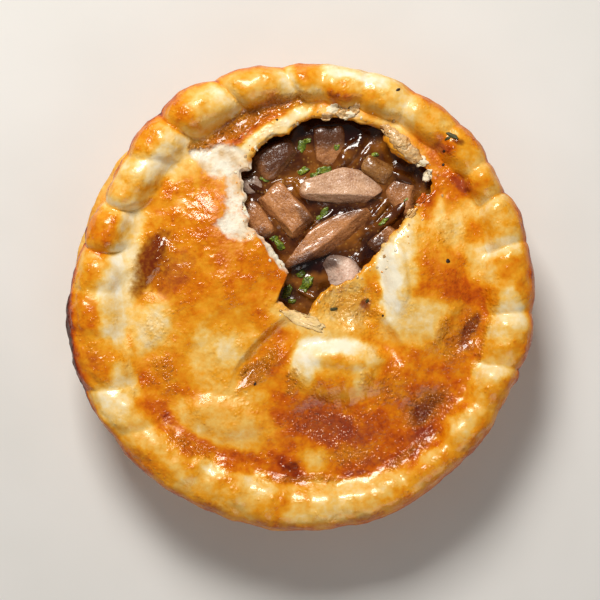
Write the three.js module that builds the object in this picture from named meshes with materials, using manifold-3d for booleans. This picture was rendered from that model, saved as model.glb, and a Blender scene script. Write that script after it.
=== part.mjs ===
// A round steak and kidney pie with a rope-crimped rim and a torn hole in its lid.
// Millimetres, +Z up. The origin is the middle of the underside.
// Angles run anticlockwise seen from above, from +X.
import * as THREE from 'three';
import { mergeVertices } from 'three/addons/utils/BufferGeometryUtils.js';
import Module from 'manifold-3d';

const wasm = await Module();
wasm.setup();

// Driving dimensions of the pastry.
const BASE_RADIUS = 60;
const BASE_CORNER = 3;
const CASE_TOP_RADIUS = 73.5;
const CASE_TOP_Z = 29;
const CASE_SWELL = 0.85;
const CRUST_THICKNESS = 4.6;
const LID_THICKNESS = 4.2;
const LID_RIM_Z = 36.2;
const LID_CROWN = 3.0;
const LID_RADIUS = 69;
const LID_RIPPLE = 0.35;
const UNDERSIDE_SINK = 0.5;
const MIDDLE_Z = 16;
const SIDE_UNEVENNESS = 0.4;
const INNER_RIM_Z = 30.6;

// The rope: a roll of pastry pinched into lobes with creases between them.
const ROPE_HALF_HEIGHT = 8.0;
const ROPE_Z = 34.6;
const CREASE_INWARD = 1.4;
const CREASE_OUTWARD = 2.4;
const CREASE_DOWN = 0.38;
const CREASE_SHARPNESS = 2.2;
const CREASE_START_SPREAD = 1.3;
const CREASE_END_SPREAD = 0.8;
const LIP_RADIUS = 83.6;
const LIP_Z = 28.8;
const LIP_THICKNESS = 1.4;
const LIP_OVERHANG = 2.6;
const LIP_UNEVENNESS = 0.7;
const LIP_START_BELOW = 3.5;
const ROPE_FIRST_TURN = -30;
const ROPE_LAST_TURN = 152;
const ROPE_FOOT_TURN = 166;

// Each lobe, anticlockwise: the angle of the crease at its start; that crease's slant from the rope's top
// outwards and its bulge, in degrees; its depth and half width; then the lobe's inner and outer reach, and
// how far its top stands above the mean.
const ROPE_LOBES = [
  [-168, -1.5, 0, 0.35, 7, 65, 86.5, 0], [-154, -2.5, 0, 0.6, 7, 68, 86, -0.3],
  [-140.5, -3, 0, 0.55, 7, 66.5, 86, -0.6], [-119, -1, 0, 0.35, 6, 64.5, 85.5, -0.5],
  [-104.6, 0, 0, 0.35, 6, 66, 86, -0.2], [-92, 0, 0, 0.15, 6, 68.5, 85.5, 0],
  [-79, 0, 0, 0.35, 6, 70, 86.5, -0.5], [-60, 1, 0, 0.35, 6, 71.5, 85, -0.2],
  [-45, 1, 0, 0.3, 5, 69.8, 85, 0.1], [-31, 1, 0, 0.35, 5, 69.5, 84.5, 0.3],
  [-19.5, 1, 0.6, 0.7, 6, 69.5, 86.5, 0.5], [-5, 1, 0.8, 0.8, 7, 66.5, 86, 0.2],
  [12.9, 0.5, 1, 0.8, 6, 71, 86.5, -0.2], [26.4, 0.5, 0.8, 0.95, 6, 72.5, 84.5, 0.4],
  [35.4, 0, 0.8, 0.65, 5, 72.5, 87, 0.6], [47, 0, 0.8, 0.6, 6, 72, 87, 0.3],
  [60.4, 0, 0.6, 0.55, 6, 72, 86.8, 0.3], [73, 0, 0, 0.35, 5, 71, 86.2, -0.3],
  [84, 1, 0, 0.45, 5, 71, 85.5, 0.3], [92.5, 2, 0, 0.9, 7, 71, 86, 0.6], [109, 2.5, 0, 1, 8, 69, 87, 1],
  [125.5, 1.5, 1.2, 1, 7, 67, 84.8, 0.7], [138, 4, 0, 0.5, 6, 65.5, 80.8, 0.9],
  [152.5, 0.5, 2, 1, 7, 67, 81.8, 0.6], [165.7, 0, 1.8, 1, 7, 65, 82.8, 0.5],
  [178, -0.5, 0.5, 0.3, 7, 65, 86, 0.4],
].map(([start, slant, bulge, depth, width, inner, outer, rise]) => ({
  start: THREE.MathUtils.degToRad(start),
  slant: THREE.MathUtils.degToRad(slant),
  bulge: THREE.MathUtils.degToRad(bulge),
  depth,
  width,
  inner,
  outer,
  rise,
}));
const ROPE_RADIUS = 77;

// The torn hole: its middle, and the reach of its edge round that middle as [degrees, millimetres].
const HOLE = { x: 12.7, y: 33.5 };
const TEAR = [
  [-166, 32.2], [-155, 28.5], [-138, 28.1], [-124, 29.8], [-121.5, 40.6], [-113.9, 41.4], [-104.6, 41.8],
  [-101, 35.5], [-97.3, 31.6], [-91.4, 28.8], [-74, 26.5], [-65, 24.4], [-50.5, 24.0], [-38.5, 22.8],
  [-21.2, 24.2], [-8, 26.1], [2.7, 30.6], [8, 35.2], [15.5, 36.7], [23.4, 35.7], [31, 30.9], [42.4, 28.6],
  [52.4, 29.8], [58, 33.4], [67.8, 31.8], [82, 32], [92.6, 31.7], [104.5, 33.5], [118.3, 32.2],
  [123, 30.8], [131.9, 33.3], [150, 35.7], [156.2, 33.4], [160.5, 35.9], [167.3, 34.7], [176, 32.6],
];
const TEAR_CRAG = 0.7;
const TEAR_UNDERCUT = 0.9;
const TEAR_TO_RIM = 0.6;

// Rises and hollows of the lid: middle, half lengths, turn in degrees, height.
const LID_FORMS = [
  { name: 'dome below the hole', x: 13.8, y: -27.3, long: 20, wide: 12, turn: -6, height: 3.4 },
  { name: 'long dome on the right', x: 45.5, y: 6.2, long: 30, wide: 15, turn: -70, height: 3.6 },
  { name: 'swell on the left', x: -31, y: 13, long: 30, wide: 25, turn: 70, height: 1.6 },
  { name: 'pale swell at lower left', x: -29, y: -44, long: 18, wide: 9, turn: -8, height: 2.2 },
  { name: 'pale swell at far left', x: -53.5, y: -8.7, long: 11, wide: 8, turn: 80, height: 1.3 },
  { name: 'browned ridge on the left', x: -54.6, y: 11.6, long: 12, wide: 4, turn: 63, height: 1.6 },
  { name: 'gully from the hole', x: -12, y: -19.5, long: 20, wide: 6, turn: 47, height: -3.0 },
  { name: 'gully between the domes', x: 29, y: -14, long: 15, wide: 6, turn: -50, height: -2.8 },
  { name: 'browned hollow at the bottom', x: 9, y: -45, long: 17, wide: 10, turn: 0, height: -1.4 },
  { name: 'hollow at lower right', x: 46, y: -40, long: 14, wide: 8, turn: 35, height: -1.8 },
  { name: 'hollow on the right', x: 58, y: -13, long: 11, wide: 7, turn: 60, height: -1.6 },
  { name: 'fold at the bottom', x: 21, y: -63.5, long: 9, wide: 2.6, turn: 5, height: 1.6 },
  { name: 'blister at the bottom', x: -4.4, y: -62, long: 5, wide: 4, turn: 20, height: 1.5 },
  { name: 'shelf under the hole', x: 18, y: -3, long: 14, wide: 10, turn: 0, height: -2.8 },
  { name: 'broken lump at upper right', x: 38, y: 56.5, long: 8, wide: 6, turn: -40, height: 1.2 },
  { name: 'bare band left of the hole', x: -27, y: 42, long: 20, wide: 8, turn: -62, height: -1.3 },
  { name: 'groove at upper left', x: -27, y: 61, long: 17, wide: 5, turn: 32, height: -1.6 },
  { name: 'left shoulder of the long dome', x: 35, y: 6, long: 16, wide: 5.5, turn: 92, height: 1.8 },
  { name: 'crest of the dome', x: 16.5, y: -21.5, long: 18, wide: 5.5, turn: -4, height: 1.6 },
];

// The filling: gravy with cut meat standing in it.
const GAP = 0.3;
const WALL_GAP = 0.6;
const FLOOR_Z = CRUST_THICKNESS + GAP;
const GRAVY_Z = 29.2;
const HEADROOM = 1.2;
const GRAVY_RISE_START = 3.5;
const GRAVY_RISE_END = 12;

// Each piece of meat: middle, full sizes, turn and tilts in degrees, boxiness, the seed of its unevenness, and
// the flat cuts of the knife, each the outward direction and its distance from the piece's middle, untilted.
const MEAT = [
  {
    name: 'steak_wedge', at: [10.9, 20.6, 27.3], size: [37, 14, 13], turn: 29, roll: -8, pitch: 0, box: 8, seed: 3,
    cuts: [
      [-0.396, 0.918, 0, 7.3], [-0.17, -0.985, 0, 4.9], [0.28, 0.96, 0, 8.2], [0.28, -0.96, 0, 7.4],
      [0.15, -0.75, 0.64, 4.6],
    ],
  },
  {
    name: 'steak_centre', at: [15.0, 40.6, 27.2], size: [30, 13.5, 12], turn: -9, roll: -10, pitch: 4, box: 8, seed: 8,
    cuts: [[0.5, 0.866, 0, 8.4], [0.7, -0.714, 0, 10.6], [-0.47, 0.883, 0, 6], [0.1, -0.86, 0.5, 6.4]],
  },
  {
    name: 'steak_left', at: [-4.6, 31.7, 26.9], size: [20.4, 11.8, 12], turn: -48, roll: 4, pitch: -5, box: 9, seed: 5,
    cuts: [[0.85, 0, 0.53, 9.6], [0, -0.8, 0.6, 6.4]],
  },
  {
    name: 'kidney_round', at: [15.2, 9.2, 26.6], size: [15.5, 12, 12], turn: -20, roll: 0, pitch: 0, box: 3, seed: 11,
    cuts: [[-0.3, -0.35, 0.89, 5]],
  },
  {
    name: 'steak_top', at: [10.2, 56.0, 25.2], size: [13.5, 15.4, 11], turn: 4, roll: 5, pitch: 0, box: 6, seed: 2,
    cuts: [[-0.8, 0, 0.6, 6.6]],
  },
  {
    name: 'steak_shaded', at: [-8.8, 50.8, 25.9], size: [17, 13, 12], turn: 28, roll: 0, pitch: 0, box: 4, seed: 14,
    cuts: [[0.3, -0.7, 0.65, 6]],
  },
  {
    name: 'steak_edge', at: [-15.8, 28.2, 25.8], size: [15, 8.5, 11], turn: -55, roll: 0, pitch: 0, box: 5, seed: 9,
    cuts: [],
  },
  {
    name: 'kidney_piece', at: [-17.6, 41.6, 25.8], size: [8.5, 9, 10], turn: 20, roll: 0, pitch: 0, box: 2.6, seed: 17,
    cuts: [],
  },
  {
    name: 'kidney_folded', at: [28.2, 47.2, 26.4], size: [14, 9, 11], turn: -32, roll: 0, pitch: 0, box: 3, seed: 21,
    cuts: [[0, 0.7, 0.71, 5]],
  },
  {
    name: 'steak_sunk', at: [38.6, 37.0, 25.4], size: [15, 12, 11], turn: -48, roll: 0, pitch: 0, box: 4, seed: 24,
    cuts: [[0.5, 0.5, 0.7, 5.4]],
  },
  {
    name: 'steak_under_lid', at: [31.2, 20.6, 25.6], size: [12, 9, 11], turn: 42, roll: 0, pitch: 0, box: 5, seed: 27,
    cuts: [],
  },
];
const MEAT_UNEVENNESS = 0.05;

// Cut greens that float in the gravy: middle, half lengths, turn in degrees.
const GREENS = [
  { x: 0.9, y: 46.4, long: 2.6, wide: 1.8, turn: 10 },
  { x: 8.7, y: 48.4, long: 2.4, wide: 1.8, turn: 60 },
  { x: 0.7, y: 56, long: 3, wide: 1.8, turn: 80 },
  { x: -5.2, y: 2.0, long: 3.4, wide: 2.2, turn: 60 },
  { x: 2.2, y: 4.9, long: 3.6, wide: 2.6, turn: 50 },
  { x: -8.6, y: 18.0, long: 3.2, wide: 1.8, turn: 60 },
  { x: 30.6, y: 28.6, long: 3.0, wide: 1.6, turn: 45 },
];
const GREEN_HEIGHT = 1.1;

// Fineness of the meshes.
const CRUST_COLUMNS_PER_LOBE = 5;
const GRAVY_COLUMNS_PER_LOBE = 2;
const LID_RINGS = 8;
const ROPE_RINGS = 8;
const UNDERSIDE_SHARES = [0, 0.33, 0.7];

const COLOURS = { crust: 0xe0a04a, gravy: 0x6b4526, steak: 0x9a6a4c, kidney: 0x8d6a5c };

/** A repeatable unevenness between -1 and 1 over the point (x, y, z), about 1 / frequency apart. */
function unevenness(x, y, z, frequency, seed) {
  const a = Math.sin(x * frequency * 1.7 + seed * 1.3) * Math.cos(y * frequency * 1.3 + seed * 2.1);
  const b = Math.sin((y + z) * frequency * 1.9 + seed * 0.7) * Math.cos(x * frequency * 0.9 - seed);
  const c = Math.sin((x - z) * frequency * 2.3 + seed * 3.1);
  return (a + b + c) / 3;
}

/** How far x has gone from start to end, smoothly, from 0 to 1. */
const ease = (x, start, end) => THREE.MathUtils.smoothstep(x, start, end);

/** The angle brought between -PI and PI. */
const wrap = (angle) => THREE.MathUtils.euclideanModulo(angle + Math.PI, 2 * Math.PI) - Math.PI;

/** The mounded share, 1 at a form's middle and 0 at its outline, at (x, y). */
function formShare(form, x, y) {
  const turn = THREE.MathUtils.degToRad(form.turn);
  const dx = x - form.x;
  const dy = y - form.y;
  const along = (dx * Math.cos(turn) + dy * Math.sin(turn)) / form.long;
  const across = (-dx * Math.sin(turn) + dy * Math.cos(turn)) / form.wide;
  const inside = Math.max(0, 1 - along * along - across * across);
  return inside * inside * (3 - 2 * inside);
}

/** Height of the lid's gentle crown alone, without its rises and hollows. */
const crownHeight = (x, y) => LID_RIM_Z + LID_CROWN * (1 - (x * x + y * y) / LID_RADIUS ** 2);

/** Height of the lid's upper face. */
function lidHeight(x, y) {
  const forms = LID_FORMS.reduce((sum, form) => sum + form.height * formShare(form, x, y), 0);
  return crownHeight(x, y) + forms + LID_RIPPLE * unevenness(x, y, 0, 0.16, 4);
}

/** Height of the lid's lower face, which sinks a little under each hollow. */
function lidUnderside(x, y) {
  const hollows = LID_FORMS.filter((form) => form.height < 0);
  const sink = hollows.reduce((sum, form) => sum + form.height * formShare(form, x, y), 0);
  return crownHeight(x, y) - LID_THICKNESS + UNDERSIDE_SINK * sink;
}

/** Reach of the hole's edge from the hole's middle, in the direction of the angle. */
function tearReach(angle) {
  const degrees = THREE.MathUtils.radToDeg(wrap(angle));
  const next = TEAR.findIndex(([d]) => d > degrees);
  const high = TEAR[next < 0 ? 0 : next];
  const low = TEAR[(next < 1 ? TEAR.length : next) - 1];
  const span = THREE.MathUtils.euclideanModulo(high[0] - low[0], 360);
  const gone = THREE.MathUtils.euclideanModulo(degrees - low[0], 360) / span;
  return THREE.MathUtils.lerp(low[1], high[1], gone);
}

/** The lobe that follows lobe k anticlockwise. */
const lobeAfter = (k) => ROPE_LOBES[(k + 1) % ROPE_LOBES.length];

/** The mesh's columns: for each, its lobe, how far along the lobe it is, and its angle round the pie. */
function ropeColumns(perLobe) {
  const columns = [];
  ROPE_LOBES.forEach((lobe, k) => {
    const length = wrap(lobeAfter(k).start - lobe.start);
    for (let i = 0; i < perLobe; i++) {
      columns.push({ lobe: k, along: i / perLobe, length, angle: lobe.start + (length * i) / perLobe });
    }
  });
  return columns;
}

/** A lobe's value blended with its neighbours' towards its ends. */
function blendedLobe(column, key) {
  const count = ROPE_LOBES.length;
  const here = ROPE_LOBES[column.lobe][key];
  const side = column.along < 0.5 ? count - 1 : 1;
  const beside = ROPE_LOBES[(column.lobe + side) % count][key];
  const away = Math.abs(column.along - 0.5);
  return THREE.MathUtils.lerp(here, (here + beside) / 2, ease(away, 0, 0.5));
}

/** A value that belongs to the creases, between the one at the lobe's start and the one at its end. */
const betweenCreases = (column, key) => (
  THREE.MathUtils.lerp(ROPE_LOBES[column.lobe][key], lobeAfter(column.lobe)[key], column.along)
);

/** A crease's section over the share of its width: sharp where it is deep, rounded where it is faint. */
function creaseDip(depth, away) {
  const sharp = Math.max(0, 1 - away) ** CREASE_SHARPNESS;
  const rounded = Math.max(0, 1 - away ** 2) ** 2;
  return depth * THREE.MathUtils.lerp(rounded, sharp, depth);
}

/** How deep the rope is sunk at this column, 1 in a full crease and 0 on the back of a lobe. */
function creaseShare(column) {
  const start = ROPE_LOBES[column.lobe];
  const end = lobeAfter(column.lobe);
  const length = column.length * ROPE_RADIUS;
  const fromStart = (column.along * length) / (start.width * CREASE_START_SPREAD);
  const fromEnd = ((1 - column.along) * length) / (end.width * CREASE_END_SPREAD);
  return Math.max(creaseDip(start.depth, fromStart), creaseDip(end.depth, fromEnd));
}

/** A point of the rope's skin. turn is 0 at the outermost point, PI / 2 at the top and PI at the innermost. */
function ropePoint(column, turn) {
  const hollow = creaseShare(column);
  const across = Math.cos(turn);
  const lean = betweenCreases(column, 'slant') * across + betweenCreases(column, 'bulge') * Math.sin(turn);
  const angle = column.angle + lean;
  const inner = blendedLobe(column, 'inner') + CREASE_OUTWARD * hollow;
  const outer = blendedLobe(column, 'outer') - CREASE_INWARD * hollow;
  const height = (ROPE_HALF_HEIGHT + blendedLobe(column, 'rise')) * (1 - CREASE_DOWN * hollow);
  const radius = (inner + outer) / 2 + ((outer - inner) / 2) * across;
  return new THREE.Vector3(
    radius * Math.cos(angle),
    radius * Math.sin(angle),
    ROPE_Z + height * Math.sin(turn),
  );
}

/** Direction from the hole's middle to the point (x, y). */
const holeAngle = (x, y) => Math.atan2(y - HOLE.y, x - HOLE.x);

/** The point (x, y) on the straight way from the hole's edge, share 0, to the outer point, share 1. */
function betweenTearAndRim(outer, share, inset) {
  const angle = holeAngle(outer.x, outer.y);
  const far = Math.hypot(outer.x - HOLE.x, outer.y - HOLE.y);
  const near = Math.min(tearReach(angle) + inset, far - TEAR_TO_RIM);
  const reach = THREE.MathUtils.lerp(near, far, share);
  return { x: HOLE.x + reach * Math.cos(angle), y: HOLE.y + reach * Math.sin(angle) };
}

/** Radius of the case's outer face at height z. */
const caseRadius = (z) => THREE.MathUtils.lerp(BASE_RADIUS, CASE_TOP_RADIUS, (z / CASE_TOP_Z) ** CASE_SWELL);

/** A point at this radius and height in the column's direction. */
const ringPoint = (column, radius, z) => new THREE.Vector3(
  radius * Math.cos(column.angle),
  radius * Math.sin(column.angle),
  z,
);

/** A closed round body: every column has the same rings, from the axis below to the axis above. */
function sweepRound(columns, ringCount, place) {
  const last = ringCount - 1;
  const profile = Array.from({ length: ringCount }, (_, j) => new THREE.Vector2(j === 0 || j === last ? 0 : 1, j));
  const geometry = new THREE.LatheGeometry(profile, columns.length);
  const position = geometry.getAttribute('position');
  for (let i = 0; i <= columns.length; i++) {
    for (let j = 0; j < ringCount; j++) {
      const point = place(columns[i % columns.length], j);
      position.setXYZ(i * ringCount + j, point.x, point.y, point.z);
    }
  }
  return weld(geometry);
}

/** The geometry with its shared vertices merged and its flattened triangles dropped. */
function weld(geometry) {
  const bare = geometry.clone();
  bare.deleteAttribute('normal');
  bare.deleteAttribute('uv');
  const merged = mergeVertices(bare, 1e-4);
  const index = merged.getIndex().array;
  const kept = [];
  for (let i = 0; i < index.length; i += 3) {
    const [a, b, c] = [index[i], index[i + 1], index[i + 2]];
    if (a !== b && b !== c && c !== a) kept.push(a, b, c);
  }
  merged.setIndex(kept);
  return merged;
}

/** The pastry as one closed body: case, rope, lid and the torn edge down to the hollow inside. */
function crustGeometry() {
  const columns = ropeColumns(CRUST_COLUMNS_PER_LOBE);
  const rings = [];
  const ring = (place) => rings.push(place);

  // Underside and outer side of the case.
  ring(() => new THREE.Vector3(0, 0, 0));
  ring((c) => ringPoint(c, BASE_RADIUS - BASE_CORNER, 0));
  ring((c) => ringPoint(c, caseRadius(BASE_CORNER), BASE_CORNER));
  ring((c) => ringPoint(c, caseRadius(MIDDLE_Z) + SIDE_UNEVENNESS * unevenness(c.angle * 9, 0, 0, 1, 1), MIDDLE_Z));
  ring((c) => ringPoint(c, caseRadius(CASE_TOP_Z - LIP_START_BELOW), CASE_TOP_Z - LIP_START_BELOW));

  // The lip of the lower pastry sheet under the rope.
  ring((c) => ringPoint(c, LIP_RADIUS - LIP_OVERHANG, LIP_Z - LIP_THICKNESS));
  ring((c) => ringPoint(c, LIP_RADIUS + LIP_UNEVENNESS * unevenness(c.angle * 14, 0, 0, 1, 6), LIP_Z));

  // The rope, from its outer foot over its top to its inner foot.
  for (let j = 0; j < ROPE_RINGS; j++) {
    const turn = THREE.MathUtils.degToRad(THREE.MathUtils.lerp(ROPE_FIRST_TURN, ROPE_LAST_TURN, j / (ROPE_RINGS - 1)));
    ring((c) => ropePoint(c, turn));
  }

  // The lid's upper face, from the rope to the tear.
  const ropeFoot = (c) => ropePoint(c, THREE.MathUtils.degToRad(ROPE_FOOT_TURN));
  for (let j = 0; j < LID_RINGS; j++) {
    const share = 1 - j / (LID_RINGS - 1);
    ring((c) => {
      const at = betweenTearAndRim(ropeFoot(c), share, 0);
      return new THREE.Vector3(at.x, at.y, lidHeight(at.x, at.y));
    });
  }

  // The torn edge, then the lid's lower face out to the case.
  ring((c) => {
    const foot = ropeFoot(c);
    const at = betweenTearAndRim(foot, 0, TEAR_CRAG * unevenness(foot.x, foot.y, 0, 0.9, 12) - 0.3);
    return new THREE.Vector3(at.x, at.y, lidHeight(at.x, at.y) - LID_THICKNESS * 0.55);
  });
  const innerRim = (c) => ringPoint(c, caseRadius(CASE_TOP_Z) - CRUST_THICKNESS, INNER_RIM_Z);
  UNDERSIDE_SHARES.forEach((share) => ring((c) => {
    const at = betweenTearAndRim(innerRim(c), share, TEAR_UNDERCUT);
    return new THREE.Vector3(at.x, at.y, lidUnderside(at.x, at.y));
  }));

  // The inner wall and floor.
  ring(innerRim);
  ring((c) => ringPoint(c, caseRadius(MIDDLE_Z) - CRUST_THICKNESS, MIDDLE_Z));
  ring((c) => ringPoint(c, caseRadius(BASE_CORNER) - CRUST_THICKNESS, CRUST_THICKNESS + 2));
  ring((c) => ringPoint(c, caseRadius(0) - CRUST_THICKNESS - BASE_CORNER, CRUST_THICKNESS));
  ring(() => new THREE.Vector3(0, 0, CRUST_THICKNESS));

  return sweepRound(columns, rings.length, (column, j) => rings[j](column));
}

/** Height of the gravy: level in the hole, and up to the lid's lower face away from it. */
function gravyHeight(x, y) {
  const past = Math.hypot(x - HOLE.x, y - HOLE.y) - tearReach(holeAngle(x, y));
  const under = lidUnderside(x, y) - HEADROOM;
  const level = GRAVY_Z + 0.5 * unevenness(x, y, 0, 0.35, 7);
  return THREE.MathUtils.lerp(level, under, ease(past, GRAVY_RISE_START, GRAVY_RISE_END));
}

/** The gravy's body before the meat's places are cut from it. */
function gravyBody() {
  const columns = ropeColumns(GRAVY_COLUMNS_PER_LOBE);
  const wall = (z) => caseRadius(z) - CRUST_THICKNESS - WALL_GAP;
  const outer = (c) => ringPoint(c, wall(CASE_TOP_Z), INNER_RIM_Z - HEADROOM);
  const rings = [
    () => new THREE.Vector3(0, 0, FLOOR_Z),
    (c) => ringPoint(c, caseRadius(0) - CRUST_THICKNESS - BASE_CORNER - GAP, FLOOR_Z),
    (c) => ringPoint(c, wall(BASE_CORNER), CRUST_THICKNESS + 2 + GAP),
    (c) => ringPoint(c, wall(MIDDLE_Z), MIDDLE_Z),
    outer,
  ];
  const surface = (place) => rings.push((c) => {
    const at = place(c);
    return new THREE.Vector3(at.x, at.y, gravyHeight(at.x, at.y));
  });
  const outwards = [...UNDERSIDE_SHARES].reverse();
  outwards.forEach((share) => surface((c) => betweenTearAndRim(outer(c), share, TEAR_UNDERCUT)));
  [0.8, 0.55, 0.3].forEach((share) => surface((c) => {
    const edge = betweenTearAndRim(outer(c), 0, TEAR_UNDERCUT);
    return {
      x: THREE.MathUtils.lerp(HOLE.x, edge.x, share),
      y: THREE.MathUtils.lerp(HOLE.y, edge.y, share),
    };
  }));
  rings.push(() => new THREE.Vector3(HOLE.x, HOLE.y, gravyHeight(HOLE.x, HOLE.y)));
  return sweepRound(columns, rings.length, (column, j) => rings[j](column));
}

/** One cut piece of meat as a solid: a rounded block with its flat cuts, grown outwards by grow. */
function meatSolid(piece, grow) {
  const [length, width, height] = piece.size;
  const geometry = weld(new THREE.BoxGeometry(2, 2, 2, 4, 3, 3));
  const position = geometry.getAttribute('position');
  const point = new THREE.Vector3();
  for (let i = 0; i < position.count; i++) {
    point.fromBufferAttribute(position, i).normalize();
    const powered = Math.abs(point.x) ** piece.box + Math.abs(point.y) ** piece.box + Math.abs(point.z) ** piece.box;
    point.multiplyScalar(powered ** (-1 / piece.box));
    const swell = 1 + MEAT_UNEVENNESS * unevenness(point.x, point.y, point.z, 2.2, piece.seed);
    point.multiply(new THREE.Vector3(
      (length / 2) * swell + grow,
      (width / 2) * swell + grow,
      (height / 2) * swell + grow,
    ));
    position.setXYZ(i, point.x, point.y, point.z);
  }
  const block = piece.cuts.reduce(
    (body, [x, y, z, reach]) => body.trimByPlane([-x, -y, -z], -(reach + grow) * Math.hypot(x, y, z)),
    solid(geometry),
  );
  const placed = new THREE.Matrix4().makeRotationFromEuler(new THREE.Euler(
    THREE.MathUtils.degToRad(piece.roll),
    THREE.MathUtils.degToRad(piece.pitch),
    THREE.MathUtils.degToRad(piece.turn),
    'ZYX',
  ));
  placed.setPosition(...piece.at);
  return block.transform(placed.elements);
}

/** A low lump of cut green that stands in the gravy's surface. */
function greenGeometry(green) {
  const geometry = new THREE.OctahedronGeometry(1, 1);
  geometry.scale(green.long, green.wide, GREEN_HEIGHT);
  geometry.rotateZ(THREE.MathUtils.degToRad(green.turn));
  geometry.translate(green.x, green.y, gravyHeight(green.x, green.y) + 0.1);
  return geometry;
}

/** A welded geometry as a solid that can be joined and cut. */
function solid(geometry) {
  const ready = weld(geometry);
  return new wasm.Manifold(new wasm.Mesh({
    numProp: 3,
    vertProperties: new Float32Array(ready.getAttribute('position').array),
    triVerts: new Uint32Array(ready.getIndex().array),
  }));
}

/** The solid as a geometry again. */
function geometryOf(manifold) {
  const mesh = manifold.getMesh();
  const geometry = new THREE.BufferGeometry();
  geometry.setAttribute('position', new THREE.BufferAttribute(new Float32Array(mesh.vertProperties), 3));
  geometry.setIndex(new THREE.BufferAttribute(new Uint32Array(mesh.triVerts), 1));
  return geometry;
}

/** A named mesh in its own colour. */
function named(name, geometry, colour, roughness) {
  geometry.computeVertexNormals();
  const material = new THREE.MeshStandardMaterial({ color: colour, roughness, metalness: 0 });
  const mesh = new THREE.Mesh(geometry, material);
  mesh.name = name;
  return mesh;
}

/** The meat pieces, each cut clear of those before it, and the gravy cut clear of them all. */
function fillingMeshes() {
  const meshes = [];
  let gravy = solid(gravyBody());
  GREENS.forEach((green) => {
    gravy = gravy.add(solid(greenGeometry(green)));
  });
  const grown = [];
  MEAT.forEach((piece) => {
    let meat = meatSolid(piece, 0);
    grown.forEach((other) => {
      meat = meat.subtract(other);
    });
    grown.push(meatSolid(piece, GAP));
    const colour = piece.name.startsWith('kidney') ? COLOURS.kidney : COLOURS.steak;
    meshes.push(named(piece.name, geometryOf(meat), colour, 0.45));
  });
  grown.forEach((other) => {
    gravy = gravy.subtract(other);
  });
  meshes.unshift(named('gravy', geometryOf(gravy), COLOURS.gravy, 0.2));
  return meshes;
}

const pie = new THREE.Group();
pie.add(named('crust', crustGeometry(), COLOURS.crust, 0.5));
fillingMeshes().forEach((mesh) => pie.add(mesh));

export default pie;
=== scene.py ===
"""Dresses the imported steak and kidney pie: glazed pastry with a rope rim, a torn hole, and meat in gravy.

Sizes are in millimetres in the frame's own axes: +Z up, the origin in the middle of the underside,
angles anticlockwise seen from above, from +X. A mesh is brought to metres when it is made.
"""
import logging
import math
from dataclasses import dataclass, field, replace

import bmesh
import bpy
import numpy as np
from mathutils import Matrix, Vector
from mathutils.bvhtree import BVHTree

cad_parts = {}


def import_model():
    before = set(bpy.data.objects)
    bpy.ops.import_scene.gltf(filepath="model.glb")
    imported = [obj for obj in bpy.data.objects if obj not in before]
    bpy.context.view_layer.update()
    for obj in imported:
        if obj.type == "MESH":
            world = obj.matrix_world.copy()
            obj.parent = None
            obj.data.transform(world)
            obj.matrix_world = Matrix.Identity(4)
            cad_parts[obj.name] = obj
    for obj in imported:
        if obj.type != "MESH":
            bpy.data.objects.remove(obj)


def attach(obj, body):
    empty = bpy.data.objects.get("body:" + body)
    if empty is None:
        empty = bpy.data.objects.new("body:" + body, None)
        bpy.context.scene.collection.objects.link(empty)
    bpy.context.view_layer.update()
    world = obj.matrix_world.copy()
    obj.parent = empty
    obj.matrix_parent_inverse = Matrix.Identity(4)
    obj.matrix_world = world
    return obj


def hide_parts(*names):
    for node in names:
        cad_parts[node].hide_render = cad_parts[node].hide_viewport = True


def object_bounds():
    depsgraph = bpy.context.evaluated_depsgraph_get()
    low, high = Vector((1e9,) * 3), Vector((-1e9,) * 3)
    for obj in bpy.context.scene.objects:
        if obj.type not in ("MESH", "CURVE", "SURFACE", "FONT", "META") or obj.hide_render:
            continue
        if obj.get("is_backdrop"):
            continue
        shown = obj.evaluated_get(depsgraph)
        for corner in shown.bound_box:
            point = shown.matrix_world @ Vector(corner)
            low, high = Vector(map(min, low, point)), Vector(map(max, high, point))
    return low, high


LOG = logging.getLogger("pie")
MM = 0.001

Array = np.ndarray
Places = Array | float
Piece = bpy.types.Object
Node = bpy.types.Node
Socket = bpy.types.NodeSocket
Colour = tuple[float, float, float, float]


def paint(red: int, green: int, blue: int) -> Colour:
    """A colour given as 0-255 display values, as the linear values that a shader takes."""
    linear = []
    for value in (red, green, blue):
        share = value / 255
        linear.append(share / 12.92 if share <= 0.04045 else ((share + 0.055) / 1.055) ** 2.4)
    return (linear[0], linear[1], linear[2], 1.0)


def ease(x: Array, start: float, end: float) -> Array:
    """How far x has gone from start to end, smoothly, from 0 to 1."""
    share = np.clip((x - start) / (end - start), 0, 1)
    return share * share * (3 - 2 * share)


def mix(low: Array, high: Array, share: Array) -> Array:
    """The value that lies this share of the way from low to high."""
    return low + (high - low) * share


def wrap(angle: Array) -> Array:
    """The angle brought between -pi and pi."""
    return (angle + math.pi) % (2 * math.pi) - math.pi


def parts(points: Array) -> Array:
    """The x, the y and the z of the points, as three arrays."""
    return np.moveaxis(points, -1, 0)


def stacked(x: Places, y: Places, z: Places) -> Array:
    """Points with this x, y and z."""
    return np.stack(np.broadcast_arrays(x, y, z), axis=-1)


def turned(x: Places, y: Places, middle: tuple[float, ...], degrees: float) -> tuple[Places, Places]:
    """A place as seen from the middle, along a line that is turned by so many degrees, and across it."""
    turn = math.radians(degrees)
    x, y = x - middle[0], y - middle[1]
    return x * math.cos(turn) + y * math.sin(turn), -x * math.sin(turn) + y * math.cos(turn)


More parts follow.
